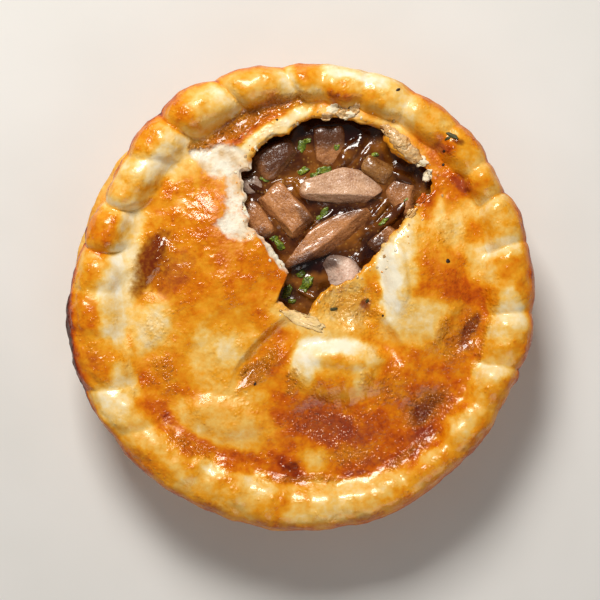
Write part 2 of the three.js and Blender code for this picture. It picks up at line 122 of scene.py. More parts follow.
class Grain:
    """Seeded noise over arrays of points in millimetres."""

    CORNERS = [(i, j, k) for i in (0, 1) for j in (0, 1) for k in (0, 1)]
    NEIGHBOURS = [(i, j, k) for i in (-1, 0, 1) for j in (-1, 0, 1) for k in (-1, 0, 1)]
    WAVE_GAIN = 1.6
    CLOUD_SPAN = 1.4
    DRIFT = 31.7
    SMALL_DOME, DOME_SPREAD, DOME_SHUFFLE = 0.28, 0.5, 7.31

    def __init__(self, seed: int) -> None:
        """Sets up the tables.

        Args:
            seed: the number that fixes the whole pattern.
        """
        draw = np.random.default_rng(seed)
        self.order = np.tile(draw.permutation(256), 2)
        slopes = draw.normal(size=(256, 3))
        self.slopes = slopes / np.linalg.norm(slopes, axis=1)[:, None]
        self.jitter = draw.random((256, 4))

    def _entry(self, cell: Array) -> Array:
        """The table entry of each whole-numbered cell."""
        i, j, k = (cell & 255).T
        return self.order[self.order[self.order[i] + j] + k]

    def wave(self, points: Array, size: float) -> Array:
        """Smooth noise.

        Args:
            points: the places, one row each.
            size: the distance between one bump and the next.

        Returns:
            A value for each point, between about -1 and 1.
        """
        place = points.reshape(-1, 3) / size
        cell = np.floor(place).astype(int)
        inside = place - cell
        fade = inside**3 * (inside * (inside * 6 - 15) + 10)
        total = np.zeros(len(place))
        for corner in self.CORNERS:
            slope = self.slopes[self._entry(cell + corner)]
            weight = np.prod(np.where(corner, fade, 1 - fade), axis=1)
            total += weight * np.einsum("ij,ij->i", slope, inside - corner)
        return (total * self.WAVE_GAIN).reshape(points.shape[:-1])

    def cloud(self, points: Array, size: float, steps: int = 3) -> Array:
        """Noise of several sizes, each half the one before, between about -1 and 1."""
        total = 0.0
        for step in range(steps):
            total = total + self.wave(points + self.DRIFT * step, size / 2**step) / 2**step
        return total / self.CLOUD_SPAN

    def domes(self, points: Array, size: float, share: float) -> Array:
        """Round bumps, 1 at their tops and 0 between them.

        Args:
            points: the places, one row each.
            size: the distance between one bump and the next.
            share: the share of the places that hold a bump.

        Returns:
            A value for each point, between 0 and 1.
        """
        place = points.reshape(-1, 3) / size
        cell = np.floor(place).astype(int)
        best = np.zeros(len(place))
        for near in self.NEIGHBOURS:
            spot = cell + near
            there = self.jitter[self._entry(spot)]
            away = np.linalg.norm(spot + there[:, :3] - place, axis=1)
            radius = self.SMALL_DOME + self.DOME_SPREAD * (there[:, 3] * self.DOME_SHUFFLE % 1)
            bump = np.clip(1 - (away / radius) ** 2, 0, 1) * (there[:, 3] < share)
            best = np.maximum(best, bump)
        return best.reshape(points.shape[:-1])


GRAIN = Grain(7)


@dataclass(frozen=True)
class Layer:
    """One layer of relief: its height and the distance between its bumps, both in millimetres."""

    height: float
    size: float

    def wave(self, points: Array) -> Array:
        """Smooth bumps and hollows."""
        return self.height * GRAIN.wave(points, self.size)

    def cloud(self, points: Array, steps: int = 3) -> Array:
        """Bumps and hollows of several sizes."""
        return self.height * GRAIN.cloud(points, self.size, steps)

    def domes(self, points: Array, share: float) -> Array:
        """Round bumps at this share of the places."""
        return self.height * GRAIN.domes(points, self.size, share)


@dataclass(frozen=True)
class Mound:
    """An oval rise, hollow or stain: its middle, half lengths, turn in degrees, level and strength."""

    x: float
    y: float
    long: float
    wide: float
    turn: float
    level: float
    strength: float = 1.0

    def reach(self, x: Array, y: Array) -> Array:
        """The squared distance from the middle, 1 on the outline."""
        along, across = turned(x, y, (self.x, self.y), self.turn)
        return (along / self.long) ** 2 + (across / self.wide) ** 2

    def share(self, x: Array, y: Array) -> Array:
        """The mounded share, 1 at the middle and 0 at the outline."""
        return ease(1 - self.reach(x, y), 0, 1)


def mounds(*rows: tuple[float, ...]) -> list[Mound]:
    """Mounds from rows of their values."""
    return [Mound(*row) for row in rows]


def heaped(forms: list[Mound], x: Array, y: Array) -> Array:
    """The height of all the forms together."""
    return sum(form.level * form.share(x, y) for form in forms)


@dataclass(frozen=True)
class Lobe:
    """One pinched lobe of the rope, with the crease at its clockwise start."""

    start: float
    slant: float
    bulge: float
    depth: float
    width: float
    inner: float
    outer: float
    rise: float


# Anticlockwise: the crease's angle, slant and bulge in degrees, its depth and half width, then the lobe's
# inner and outer reach and how far its top stands above the mean.
ROPE_LOBES = [Lobe(*row) for row in (
    (-168, -1.5, 0, 0.35, 7, 65, 86.5, 0), (-154, -2.5, 0, 0.6, 7, 68, 86, -0.3),
    (-140.5, -3, 0, 0.55, 7, 66.5, 86, -0.6), (-119, -1, 0, 0.35, 6, 64.5, 85.5, -0.5),
    (-104.6, 0, 0, 0.35, 6, 66, 86, -0.2), (-92, 0, 0, 0.15, 6, 68.5, 85.5, 0),
    (-79, 0, 0, 0.35, 6, 70, 86.5, -0.5), (-60, 1, 0, 0.35, 6, 71.5, 85, -0.2),
    (-45, 1, 0, 0.3, 5, 69.8, 85, 0.1), (-31, 1, 0, 0.35, 5, 69.5, 84.5, 0.3),
    (-19.5, 1, 0.6, 0.7, 6, 69.5, 86.5, 0.5), (-5, 1, 0.8, 0.8, 7, 66.5, 86, 0.2),
    (12.9, 0.5, 1, 0.8, 6, 71, 86.5, -0.2), (26.4, 0.5, 0.8, 0.95, 6, 72.5, 84.5, 0.4),
    (35.4, 0, 0.8, 0.65, 5, 72.5, 87, 0.6), (47, 0, 0.8, 0.6, 6, 72, 87, 0.3),
    (60.4, 0, 0.6, 0.55, 6, 72, 86.8, 0.3), (73, 0, 0, 0.35, 5, 71, 86.2, -0.3),
    (84, 1, 0, 0.45, 5, 71, 85.5, 0.3), (92.5, 2, 0, 0.9, 7, 71, 86, 0.6), (109, 2.5, 0, 1, 8, 69, 87, 1),
    (125.5, 1.5, 1.2, 1, 7, 67, 84.8, 0.7), (138, 4, 0, 0.5, 6, 65.5, 80.8, 0.9),
    (152.5, 0.5, 2, 1, 7, 67, 81.8, 0.6), (165.7, 0, 1.8, 1, 7, 65, 82.8, 0.5),
    (178, -0.5, 0.5, 0.3, 7, 65, 86, 0.4),
)]

# The reach of the hole's edge round the hole's middle, as degrees and millimetres.
TEAR = [
    (-166, 32.2), (-155, 28.5), (-138, 28.1), (-124, 29.8), (-121.5, 40.6), (-113.9, 41.4), (-104.6, 41.8),
    (-101, 35.5), (-97.3, 31.6), (-91.4, 28.8), (-74, 26.5), (-65, 24.4), (-50.5, 24.0), (-38.5, 22.8),
    (-21.2, 24.2), (-8, 26.1), (2.7, 30.6), (8, 35.2), (15.5, 36.7), (23.4, 35.7), (31, 30.9), (42.4, 28.6),
    (52.4, 29.8), (58, 33.4), (67.8, 31.8), (82, 32), (92.6, 31.7), (104.5, 33.5), (118.3, 32.2),
    (123, 30.8), (131.9, 33.3), (150, 35.7), (156.2, 33.4), (160.5, 35.9), (167.3, 34.7), (176, 32.6),
]

# How far the lid stands above or below its plain crown.
LID_FORMS = mounds(
    # The two domes, the swells and the ridge on the left.
    (13.8, -27.3, 20, 12, -6, 3.4), (45.5, 6.2, 30, 15, -70, 3.6), (-31, 13, 30, 25, 70, 1.6),
    (-29, -44, 18, 9, -8, 2.2), (-53.5, -8.7, 11, 8, 80, 1.3), (-54.6, 11.6, 12, 4, 63, 1.6),
    # The gullies and hollows.
    (-12, -19.5, 20, 6, 47, -3.0), (29, -14, 15, 6, -50, -2.8), (9, -45, 17, 10, 0, -1.4),
    (46, -40, 14, 8, 35, -1.8), (58, -13, 11, 7, 60, -1.6),
    # The smaller forms at the bottom and round the hole.
    (21, -63.5, 9, 2.6, 5, 1.6), (-4.4, -62, 5, 4, 20, 1.5), (18, -3, 14, 10, 0, -2.8),
    (38, 56.5, 8, 6, -40, 1.2), (-27, 42, 20, 8, -62, -1.3), (-27, 61, 17, 5, 32, -1.6),
    # The long dome's shoulder and the dome's crest.
    (35, 6, 16, 5.5, 92, 1.8), (16.5, -21.5, 18, 5.5, -4, 1.6),
)


def unevenness(x: Array, y: Array, z: Array, frequency: float, seed: float) -> Array:
    """The solid's own repeatable unevenness between -1 and 1, about 1 / frequency apart."""
    a = np.sin(x * frequency * 1.7 + seed * 1.3) * np.cos(y * frequency * 1.3 + seed * 2.1)
    b = np.sin((y + z) * frequency * 1.9 + seed * 0.7) * np.cos(x * frequency * 0.9 - seed)
    c = np.sin((x - z) * frequency * 2.3 + seed * 3.1)
    return (a + b + c) / 3


@dataclass(frozen=True)
class PieForm:
    """The main sizes of the pie and the heights of its surfaces, as in the solids."""

    base_radius: float = 60
    base_corner: float = 3
    case_top_radius: float = 73.5
    case_top_z: float = 29
    case_swell: float = 0.85
    crust_thickness: float = 4.6
    lid_thickness: float = 4.2
    lid_rim_z: float = 36.2
    lid_crown: float = 3.0
    lid_radius: float = 69
    lid_ripple: float = 0.35
    underside_sink: float = 0.5
    inner_rim_z: float = 30.6
    hole: tuple[float, float] = (12.7, 33.5)
    gravy_z: float = 29.2
    headroom: float = 1.2
    wall_gap: float = 0.6

    def crown(self, x: Array, y: Array) -> Array:
        """Height of the lid's gentle crown alone."""
        return self.lid_rim_z + self.lid_crown * (1 - (x * x + y * y) / self.lid_radius**2)

    def lid_height(self, x: Array, y: Array) -> Array:
        """Height of the lid's upper face."""
        ripple = self.lid_ripple * unevenness(x, y, 0 * x, 0.16, 4)
        return self.crown(x, y) + heaped(LID_FORMS, x, y) + ripple

    def lid_underside(self, x: Array, y: Array) -> Array:
        """Height of the lid's lower face, which sinks a little under each hollow."""
        sink = heaped([form for form in LID_FORMS if form.level < 0], x, y)
        return self.crown(x, y) - self.lid_thickness + self.underside_sink * sink

    def tear_reach(self, angle: Array) -> Array:
        """Reach of the hole's edge from the hole's middle, in the direction of the angle."""
        degrees, reach = zip(*TEAR)
        return np.interp(np.degrees(wrap(angle)), degrees, reach, period=360)

    def seen_from_hole(self, x: Array, y: Array) -> tuple[Array, Array]:
        """Direction and distance from the hole's middle to the point."""
        x, y = x - self.hole[0], y - self.hole[1]
        return np.arctan2(y, x), np.hypot(x, y)

    def on_ray(self, angle: Array, reach: Array) -> tuple[Array, Array]:
        """The point at this distance from the hole's middle, in the direction of the angle."""
        return self.hole[0] + reach * np.cos(angle), self.hole[1] + reach * np.sin(angle)

    def past_tear(self, x: Array, y: Array) -> Array:
        """How far the point lies outside the hole's edge, below 0 inside the hole."""
        angle, far = self.seen_from_hole(x, y)
        return far - self.tear_reach(angle)

    def case_radius(self, z: float) -> float:
        """Radius of the case's outer face at this height."""
        share = (z / self.case_top_z) ** self.case_swell
        return self.base_radius + (self.case_top_radius - self.base_radius) * share

    def inner_radius(self, z: float) -> float:
        """Radius of the case's inner face at this height."""
        return self.case_radius(z) - self.crust_thickness

    def gravy_height(self, x: Array, y: Array) -> Array:
        """Height of the gravy: level in the hole, and up to the lid's lower face away from it."""
        under = self.lid_underside(x, y) - self.headroom
        level = self.gravy_z + 0.5 * unevenness(x, y, 0 * x, 0.35, 7)
        return mix(level, under, ease(self.past_tear(x, y), 3.5, 12))


FORM = PieForm()


@dataclass
class Columns:
    """The directions of a round mesh, close to even but with one on each crease of the rope."""

    count: int
    crease_sharpness: float = 2.2
    start_spread: float = 1.3
    end_spread: float = 0.8
    rope_radius: float = 77
    lobe: Array = field(init=False)
    along: Array = field(init=False)
    length: Array = field(init=False)
    angle: Array = field(init=False)

    def __post_init__(self) -> None:
        """Works out the lobe, the share along it, its length and the angle of each column."""
        starts = np.radians([lobe.start for lobe in ROPE_LOBES])
        lengths = wrap(np.roll(starts, -1) - starts)
        steps = [max(8, round(self.count * length / (2 * math.pi))) for length in lengths]
        self.lobe = np.repeat(np.arange(len(starts)), steps)
        self.along = np.concatenate([np.arange(count) / count for count in steps])
        self.length = lengths[self.lobe]
        self.angle = starts[self.lobe] + self.length * self.along

    def value(self, key: str, after: Array | int = 0) -> Array:
        """Each column's value of its own lobe, or of the lobe so many places after it."""
        values = np.array([getattr(lobe, key) for lobe in ROPE_LOBES], dtype=float)
        return values[(self.lobe + after) % len(values)]

    def blended(self, key: str) -> Array:
        """A lobe's value blended with its neighbours' towards its ends."""
        here = self.value(key)
        beside = self.value(key, np.where(self.along < 0.5, -1, 1))
        return mix(here, (here + beside) / 2, ease(np.abs(self.along - 0.5), 0, 0.5))

    def between_creases(self, key: str) -> Array:
        """A value that belongs to the creases, between the lobe's first and its last."""
        return mix(self.value(key), self.value(key, after=1), self.along)

    def hollow(self) -> Array:
        """How deep the rope is sunk, 1 in a full crease and 0 on the back of a lobe."""
        length = self.length * self.rope_radius
        from_start = self.along * length / (self.value("width") * self.start_spread)
        from_end = (1 - self.along) * length / (self.value("width", after=1) * self.end_spread)
        first = self.dip(self.value("depth"), from_start)
        last = self.dip(self.value("depth", after=1), from_end)
        return np.maximum(first, last)

    def dip(self, depth: Array, away: Array) -> Array:
        """A crease's section over the share of its width: sharp where deep, rounded where faint."""
        sharp = np.clip(1 - away, 0, 1) ** self.crease_sharpness
        rounded = np.clip(1 - away**2, 0, 1) ** 2
        return depth * mix(rounded, sharp, depth)

    def ring(self, radius: Places, z: Places) -> Array:
        """Points at this radius and height, one in each column's direction."""
        return stacked(radius * np.cos(self.angle), radius * np.sin(self.angle), z)


def mesh_of(bm: bmesh.types.BMesh, name: str) -> tuple[bpy.types.Mesh, Array]:
    """Turns the bmesh into a mesh, and gives the places of its points too."""
    mesh = bpy.data.meshes.new(name)
    bm.to_mesh(mesh)
    bm.free()
    flat = np.empty(len(mesh.vertices) * 3)
    mesh.vertices.foreach_get("co", flat)
    return mesh, flat.reshape(-1, 3)


def put_points(mesh: bpy.types.Mesh, points: Array) -> None:
    """Moves the mesh's points to these places in millimetres."""
    mesh.vertices.foreach_set("co", (points * MM).ravel())


def put_mark(mesh: bpy.types.Mesh, name: str, values: Array) -> None:
    """Gives the mesh a value at each point, for its material."""
    mark = mesh.attributes.new(name, "FLOAT", "POINT")
    mark.data.foreach_set("value", values.astype(np.float32).ravel())


def placed_object(name: str, data: bpy.types.ID) -> Piece:
    """Puts an object with this data in the scene."""
    thing = bpy.data.objects.new(name, data)
    bpy.context.scene.collection.objects.link(thing)
    return thing


def finish_mesh(mesh: bpy.types.Mesh) -> Piece:
    """Closes the mesh's seams and poles, turns its faces outwards and gives it an object.

    Args:
        mesh: the mesh, in metres.

    Returns:
        The new object, smooth shaded.
    """
    bm = bmesh.new()
    bm.from_mesh(mesh)
    bmesh.ops.remove_doubles(bm, verts=bm.verts, dist=2e-6)
    bmesh.ops.recalc_face_normals(bm, faces=bm.faces)
    for face in bm.faces:
        face.smooth = True
    bm.to_mesh(mesh)
    bm.free()
    return placed_object(mesh.name, mesh)


class Shell:
    """A closed skin made of a grid that is rolled round the pie's axis."""

    def __init__(self, name: str, points: Array, closed_rings: bool) -> None:
        """Keeps the places of the grid's crossings.

        Args:
            name: the name of the piece.
            points: the places as columns, rings and x, y, z in millimetres.
            closed_rings: whether the last ring runs on into the first, as round a tube.
        """
        self.name = name
        self.points = points
        self.closed_rings = closed_rings
        self.marks: dict[str, Array] = {}

    def normals(self) -> Array:
        """The outward directions at the grid's crossings."""
        p = self.points
        round_step = np.roll(p, -1, axis=0) - np.roll(p, 1, axis=0)
        if self.closed_rings:
            ring_step = np.roll(p, -1, axis=1) - np.roll(p, 1, axis=1)
        else:
            ring_step = np.gradient(p, axis=1)
        outward = np.cross(round_step, ring_step)
        length = np.linalg.norm(outward, axis=2, keepdims=True)
        return outward / np.maximum(length, 1e-9)

    def push(self, height: Array) -> None:
        """Moves each crossing outwards by its height."""
        self.points = self.points + self.normals() * height[..., None]

    def make(self) -> Piece:
        """Builds the mesh.

        Returns:
            The new object, with a point attribute for each mark.
        """
        columns, rings = self.points.shape[:2]
        ring_steps = rings if self.closed_rings else rings - 1
        bm = bmesh.new()
        bmesh.ops.create_grid(bm, x_segments=columns, y_segments=ring_steps, size=0.5)
        mesh, flat = mesh_of(bm, self.name)
        column = np.round((flat[:, 0] + 0.5) * columns).astype(int) % columns
        ring = np.round((flat[:, 1] + 0.5) * ring_steps).astype(int) % rings
        put_points(mesh, self.points[column, ring])
        for name, values in self.marks.items():
            put_mark(mesh, name, values[column, ring])
        return finish_mesh(mesh)


def wandered(points: Array) -> tuple[Array, Array]:
    """How far the places of the marks wander at each point, in x and in y, in millimetres."""
    broad, middle, fine = Layer(1.7, 7.0), Layer(1.1, 3.2), Layer(0.5, 1.5)
    shift = broad.wave(points + 11) + middle.wave(points + 5) + fine.wave(points)
    slide = broad.wave(points - 17) + middle.wave(points - 9) + fine.wave(points + 2)
    return shift, slide


def stain(marks: list[Mound], points: Array, rag: float = 1.0) -> Array:
    """Paints ovals with ragged outlines on a bare field, one after another.

    Args:
        marks: the ovals, each with the level it brings the field to.
        points: the places of the field.
        rag: how ragged the outlines are.

    Returns:
        The painted field.
    """
    shift, slide = wandered(points)
    broken = GRAIN.cloud(points + 23, 4.6)
    values = np.zeros(points.shape[:-1])
    x, y, _ = parts(points)
    for mark in marks:
        wander = rag * min(1.0, mark.wide / 6.0)
        share = mark.share(x + wander * shift, y + wander * slide)
        share = share * np.clip(1 + 0.5 * rag * broken, 0, 1.3)
        values = mix(values, mark.level, np.clip(mark.strength * share, 0, 1))
    return values


# How fast a shaded mark fades past its outline, how firmly the base holds against its faint end, the size
# of mark in millimetres that weighs 1, and the power by which smaller ones weigh more.
MARK_FALL = 1.75
BASE_HOLD = 0.05
EVEN_SIZE = 20
SMALL_OVER_LARGE = 1.4


def shaded(base: Array, marks: list[Mound], points: Array) -> Array:
    """Blends the marks' levels softly into one field, the small marks over the large ones.

    Args:
        base: the level where no mark reaches.
        marks: the ovals with their levels.
        points: the places of the field.

    Returns:
        The blended field.
    """
    shift, slide = wandered(points)
    total, weight = base * BASE_HOLD, BASE_HOLD
    x, y, _ = parts(points)
    for mark in marks:
        wander = min(1.0, mark.wide / 5.0)
        reach = mark.reach(x + wander * shift, y + wander * slide)
        near = np.exp(np.clip(-MARK_FALL * reach, -30, 0))
        near = near * mark.strength * (EVEN_SIZE / math.sqrt(mark.long * mark.wide)) ** SMALL_OVER_LARGE
        total = total + near * mark.level
        weight = weight + near
    return total / weight


# How brown the crust is: 0 is cream dough and 1 is nearly burnt; some marks paint highlights and shade, as
# noted.
BAKE_AND_LIGHT_MARKS = mounds(
    # The lid's left side: golden fields, cream bands and swells, orange patches.
    (-30.9, -1.1, 30.9, 25.5, -60, 0.52), (-41.9, 35.3, 14.6, 12.4, -30, 0.52),
    (-64.6, 12.7, 22.6, 4.4, 82, 0.12, 1.2), (-50.4, 48.4, 13.5, 5.6, 12, 0.14, 1.1),
    (-52.8, -9.4, 6.6, 9.6, 0, 0.2, 1.1), (-43.7, -12.0, 5.1, 10.9, 0, 0.5, 0.6),
    (-43.7, 2.5, 12.4, 4.7, 10, 0.6, 0.8), (-16.4, 10.6, 15.3, 7.3, -8, 0.6),
    (-34.2, 26.6, 8.0, 6.6, 0, 0.6, 0.9), (-49.9, -27.7, 8.7, 7.3, -40, 0.56, 0.8),
    (-30.0, -19.0, 13.6, 8.2, -10, 0.26), (-25.5, -33.9, 9.5, 4.7, -20, 0.3, 0.8),
    (-26.9, -18.9, 3.6, 2.9, 0, 0.12, 0.8), (-28.4, -46.2, 18.9, 6.9, -8, 0.33),
    (-40.0, -52.1, 10.9, 2.2, -35, 0.64, 0.8),
    # The bottom and the gully.
    (9.1, -47.7, 22.6, 10.9, -6, 0.72, 0.8), (18.2, -58.2, 13.8, 4.7, 0, 0.59, 0.9),
    (4.4, -59.3, 5.8, 3.3, 0, 0.28, 0.9), (-13.8, -25.8, 15.3, 4.4, 45, 0.6, 0.9),
    (-18.9, -28.0, 5.8, 4.4, 0, 0.5, 0.8),
    # The dome below the hole, with its crest painted as a white highlight, and its swirl.
    (13.4, -18.0, 10.2, 2.3, -8, -0.1, 0.8), (2.8, -24.2, 4.4, 5.4, 25, 0.04, 0.7),
    (14.6, -28.2, 12.4, 7.4, -5, 0.42, 1.3), (15.0, -31.0, 3.6, 2.4, 0, 0.56, 0.8),
    (7.6, -30.6, 2.2, 4.6, 12, 0.54, 0.8), (20.6, -28.4, 1.7, 4.4, 8, 0.2, 0.8),
    (22.6, -29.5, 3.3, 5.5, 0, 0.36, 0.8),
    # The long dome on the right: pale sides, orange middle, brown end; its white left edge is a painted
    # highlight.
    (33.0, -29.0, 7.0, 9.6, -20, 0.58, 1.2), (33.0, 5.6, 3.6, 12.0, 6, -0.12, 1.3),
    (38.6, 9.0, 4.4, 12.0, 0, 0.14), (46.5, 25.0, 15.0, 10.2, -40, 0.36), (59.0, 26.2, 4.4, 9.5, -30, 0.26),
    # (46.4, 28.8) is a dark band of painted shade between the pale patches.
    (40.6, 26.0, 6.0, 6.0, 40, 0.12), (46.4, 28.8, 2.6, 6.4, -12, 0.56), (50.6, 30.6, 2.6, 5.4, -20, 0.24),
    # (24.4, -21.4) is the right end of the lower dome's painted crest highlight.
    (24.4, -21.4, 6.0, 1.7, -24, 0.26, 0.8), (52.0, 12.2, 9.6, 8.0, -15, 0.6),
    (48.0, 3.3, 11.6, 4.7, 0, 0.64, 0.9), (59.7, 3.3, 7.3, 3.6, -15, 0.73, 0.9),
    # (52.1, -12.0) is painted shade along the long dome's lower edge.
    (45.6, -7.6, 11.0, 7.0, 10, 0.24), (52.1, -12.0, 4.3, 9.0, -25, 0.52, 0.9),
    # The right side, the hollow at lower right and the bottom line.
    (64.8, 14.2, 4.4, 9.5, 10, 0.26), (64.1, 25.1, 3.6, 5.8, 0, 0.55, 0.7),
    (59.3, -15.7, 5.8, 12.4, -35, 0.6), (43.7, -41.9, 13.1, 8.0, 38, 0.68),
    (37.1, -40.4, 5.1, 8.7, -40, 0.65, 0.8), (43.7, -50.6, 9.5, 5.1, 20, 0.72, 0.8),
    (26.2, -60.8, 9.5, 2.9, 8, 0.74, 0.8), (-3.3, -61.9, 5.5, 4.0, 10, 0.78),
    # Round the hole: the shelf, the flap, and the broken pastry above and right of it.
    (18.9, -2.9, 14.6, 12.4, -20, 0.3, 0.9), (26.0, -3.0, 3.6, 10.4, 0, 0.5, 0.8),
    (1.8, -9.1, 10.9, 3.3, -25, 0.24, 0.9), (51.0, 38.9, 9.5, 9.5, 0, 0.59, 0.9),
    (46.6, 34.6, 8.0, 3.3, 45, 0.72, 0.8), (50.2, 55.0, 4.4, 3.3, 0, 0.7, 0.8),
    (59.7, 40.4, 5.8, 3.3, -25, 0.68, 0.8), (16.4, 72.4, 12.4, 4.4, -5, 0.62, 0.9),
    (16.7, 68.1, 7.3, 3.6, 0, 0.26, 0.9), (36.4, 68.1, 9.5, 4.4, -30, 0.3, 0.8),
    (-21.8, 62.2, 21.1, 4.0, 33, 0.64, 0.9), (-13.0, 58.8, 13.6, 2.2, 33, 0.14, 0.9),
    (39.3, 55.3, 9.5, 5.1, -45, 0.4, 0.9),
    # The grooves at the foot of the rope.
    (-46.6, -49.1, 3.6, 12.4, 38, 0.74, 0.9), (-27.3, -58.6, 14.6, 2.9, -18, 0.65, 0.8),
    # The rope's lobes, clockwise from 161 degrees: orange tops, cream feet, ends and creases.
    # The cream on the lobe ends that face the key light is partly painted highlight.
    (-69.1, 24.2, 8.7, 5.5, 71, 0.6, 0.9), (-66.1, 33.0, 2.2, 5.1, 64, 0.3, 0.8),
    (-61.7, 40.0, 8.7, 6.2, 57, 0.38, 0.9), (-46.9, 50.3, 10.9, 4.0, 33, 0.25, 0.9),
    (-71.9, 39.9, 12.4, 2.2, 61, 0.51, 0.8), (-56.4, 55.3, 8.0, 4.7, 46, 0.51, 0.9),
    (-43.6, 58.3, 4.7, 4.4, 37, 0.27, 0.9), (-42.3, 64.1, 4.4, 7.3, 33, 0.54, 0.9),
    (-33.2, 69.3, 7.3, 8.0, 26, 0.32, 0.8), (-24.8, 70.4, 2.2, 5.1, 19, 0.29, 0.8),
    (-14.9, 76.8, 10.2, 5.5, 11, 0.4, 0.8), (-4.4, 79.6, 2.9, 5.5, 3, 0.23, 0.9),
    (2.8, 81.5, 4.7, 4.4, -2, 0.5, 0.8), (5.1, 73.0, 5.1, 2.9, -4, 0.33, 0.8),
    (16.2, 82.6, 9.0, 3.2, -11, 0.06), (16.6, 77.2, 6.6, 2.4, -12, 0.36, 0.8),
    (27.8, 79.0, 6.1, 3.2, -19, 0.06), (29.8, 72.0, 7.3, 4.7, -22, 0.38, 0.9),
    (34.5, 64.1, 5.1, 3.3, -28, 0.29, 0.8), (45.5, 65.5, 6.2, 5.1, -35, 0.4, 0.9),
    (45.6, 57.2, 5.8, 2.9, -39, 0.5, 0.8), (62.0, 50.2, 4.7, 5.5, -51, 0.46, 0.9),
    (67.0, 41.9, 4.4, 5.8, -58, 0.48, 0.8), (68.9, 32.2, 2.2, 5.5, -65, 0.27, 0.9),
    (73.2, 28.7, 4.0, 4.7, -69, 0.4, 0.9), (72.7, 16.8, 3.3, 4.4, -77, 0.25, 0.9),
    (74.6, 10.9, 3.3, 4.0, -82, 0.54, 0.9), (82.4, 6.3, 6.6, 2.9, -86, 0.53, 0.8),
    (77.1, -2.7, 3.6, 3.3, 88, 0.27, 0.8), (76.0, -11.2, 4.0, 5.1, 82, 0.25, 0.9),
    (80.7, -19.4, 5.8, 3.6, 76, 0.54, 0.8), (73.8, -21.2, 2.9, 5.1, 74, 0.45, 0.7),
    (69.6, -28.0, 3.3, 4.0, 68, 0.25, 0.9), (73.3, -35.7, 6.2, 4.7, 64, 0.51, 0.8),
    (59.2, -47.2, 4.4, 3.6, 51, 0.31, 0.8), (61.9, -54.2, 8.0, 3.3, 49, 0.53, 0.8),
    (47.4, -58.1, 2.5, 2.2, 39, 0.3, 0.8), (46.3, -66.2, 8.0, 5.1, 35, 0.51, 0.8),
    (20.5, -71.4, 13.8, 3.3, 20, 0.32, 0.8), (-16.3, -68.0, 4.4, 3.3, -14, 0.3, 0.8),
    (-28.0, -69.2, 9.5, 5.1, -22, 0.42, 0.7), (-34.1, -61.4, 5.8, 1.8, -29, 0.29, 0.8),
    (-48.0, -55.2, 8.0, 4.4, -41, 0.37, 0.8), (-55.4, -59.4, 8.0, 2.2, -37, 0.51, 0.7),
    (-67.3, -39.2, 4.7, 4.0, -60, 0.24, 0.9), (-63.7, -29.7, 4.4, 2.5, -65, 0.31, 0.8),
    (-74.9, -21.5, 6.6, 5.5, -74, 0.58, 0.8), (-78.5, -8.8, 6.6, 5.1, -84, 0.58, 0.8),
    (-69.4, -3.8, 6.6, 2.9, -87, 0.27, 0.8),
)
# Where sticky amber glaze has pooled; the mark at (50.6, -13.6) is painted shade below the long dome.
AMBER_AND_SHADE_MARKS = mounds(
    (-36.4, 55.0, 6.6, 4.4, 0, 1.0), (-21.8, 63.4, 22.0, 4.6, 31, 1.0), (-3.6, 71.7, 10.0, 3.6, 10, 0.8),
    (-13.8, 58.6, 14.6, 2.5, 35, 0.35, 0.7), (-14.4, -26.6, 14.0, 4.4, 45, 0.9),
    (-18.2, -28.0, 5.1, 4.4, 0, 1.0), (18.2, -2.9, 15.0, 12.0, -20, 0.5), (50.6, -13.6, 3.6, 8.4, -32, 0.6),
    (-49.9, -27.7, 8.7, 6.6, -40, 0.5), (33.5, -33.9, 8.7, 7.3, 0, 0.5), (23.3, -28.8, 3.6, 5.8, 0, 0.45),
    (18.2, -57.5, 14.6, 5.8, 0, 0.55), (56.4, -17.5, 5.1, 9.5, -35, 0.6), (-53.5, -12.0, 5.8, 8.7, 0, 0.3),
    (53.1, 24.4, 4.4, 8.0, -10, 0.35), (-40.0, -54.2, 14.6, 3.6, -30, 0.5), (2.0, -66.5, 22.0, 2.0, 0, 0.6),
    (41.0, -56.0, 18.0, 2.0, 38, 0.6), (66.5, -17.0, 16.0, 2.0, 72, 0.5), (46.0, -40.0, 14.0, 8.5, 35, 0.8),
    (60.0, -15.0, 6.5, 13.0, -30, 0.6), (10.0, -46.0, 22.0, 11.0, 0, 0.3),
    (-2.5, -32.0, 5.0, 8.0, -20, 0.6), (30.0, -21.5, 8.0, 2.6, -25, 0.25),
)
# Purple-brown fields.
MAUVE_MARKS = mounds(
    (-45.5, 9.0, 13.4, 7.2, 56, 0.6), (13.1, -48.4, 21.0, 8.4, -10, 0.72),
    (3.6, -40.4, 11.5, 7.6, 20, 0.55), (43.7, -51.0, 8.7, 4.4, 18, 0.7), (50.2, 54.6, 4.7, 3.3, 0, 0.8),
    (59.0, 41.1, 5.5, 3.3, -25, 0.85), (20.4, -64.1, 6.6, 1.8, 6, 0.8), (24.0, -2.5, 2.9, 3.6, 0, 0.8),
    (59.3, -17.1, 3.6, 5.1, -30, 0.6), (26.9, -60.1, 8.0, 2.2, 8, 0.6), (-48.0, -46.2, 2.5, 8.0, 38, 0.35),
    (62.2, -54.4, 8.0, 3.3, 49, 0.45), (23.2, -80.8, 14.6, 2.9, 16, 0.55),
    (-9.3, -83.2, 14.6, 3.3, -6, 0.55), (-31.8, -76.7, 9.5, 3.3, -22, 0.55),
    (-57.7, -57.7, 8.0, 2.9, -45, 0.35), (-75.2, -23.0, 7.3, 5.1, -73, 0.4),
    (-71.6, 41.3, 10.9, 1.8, 60, 0.5),
)
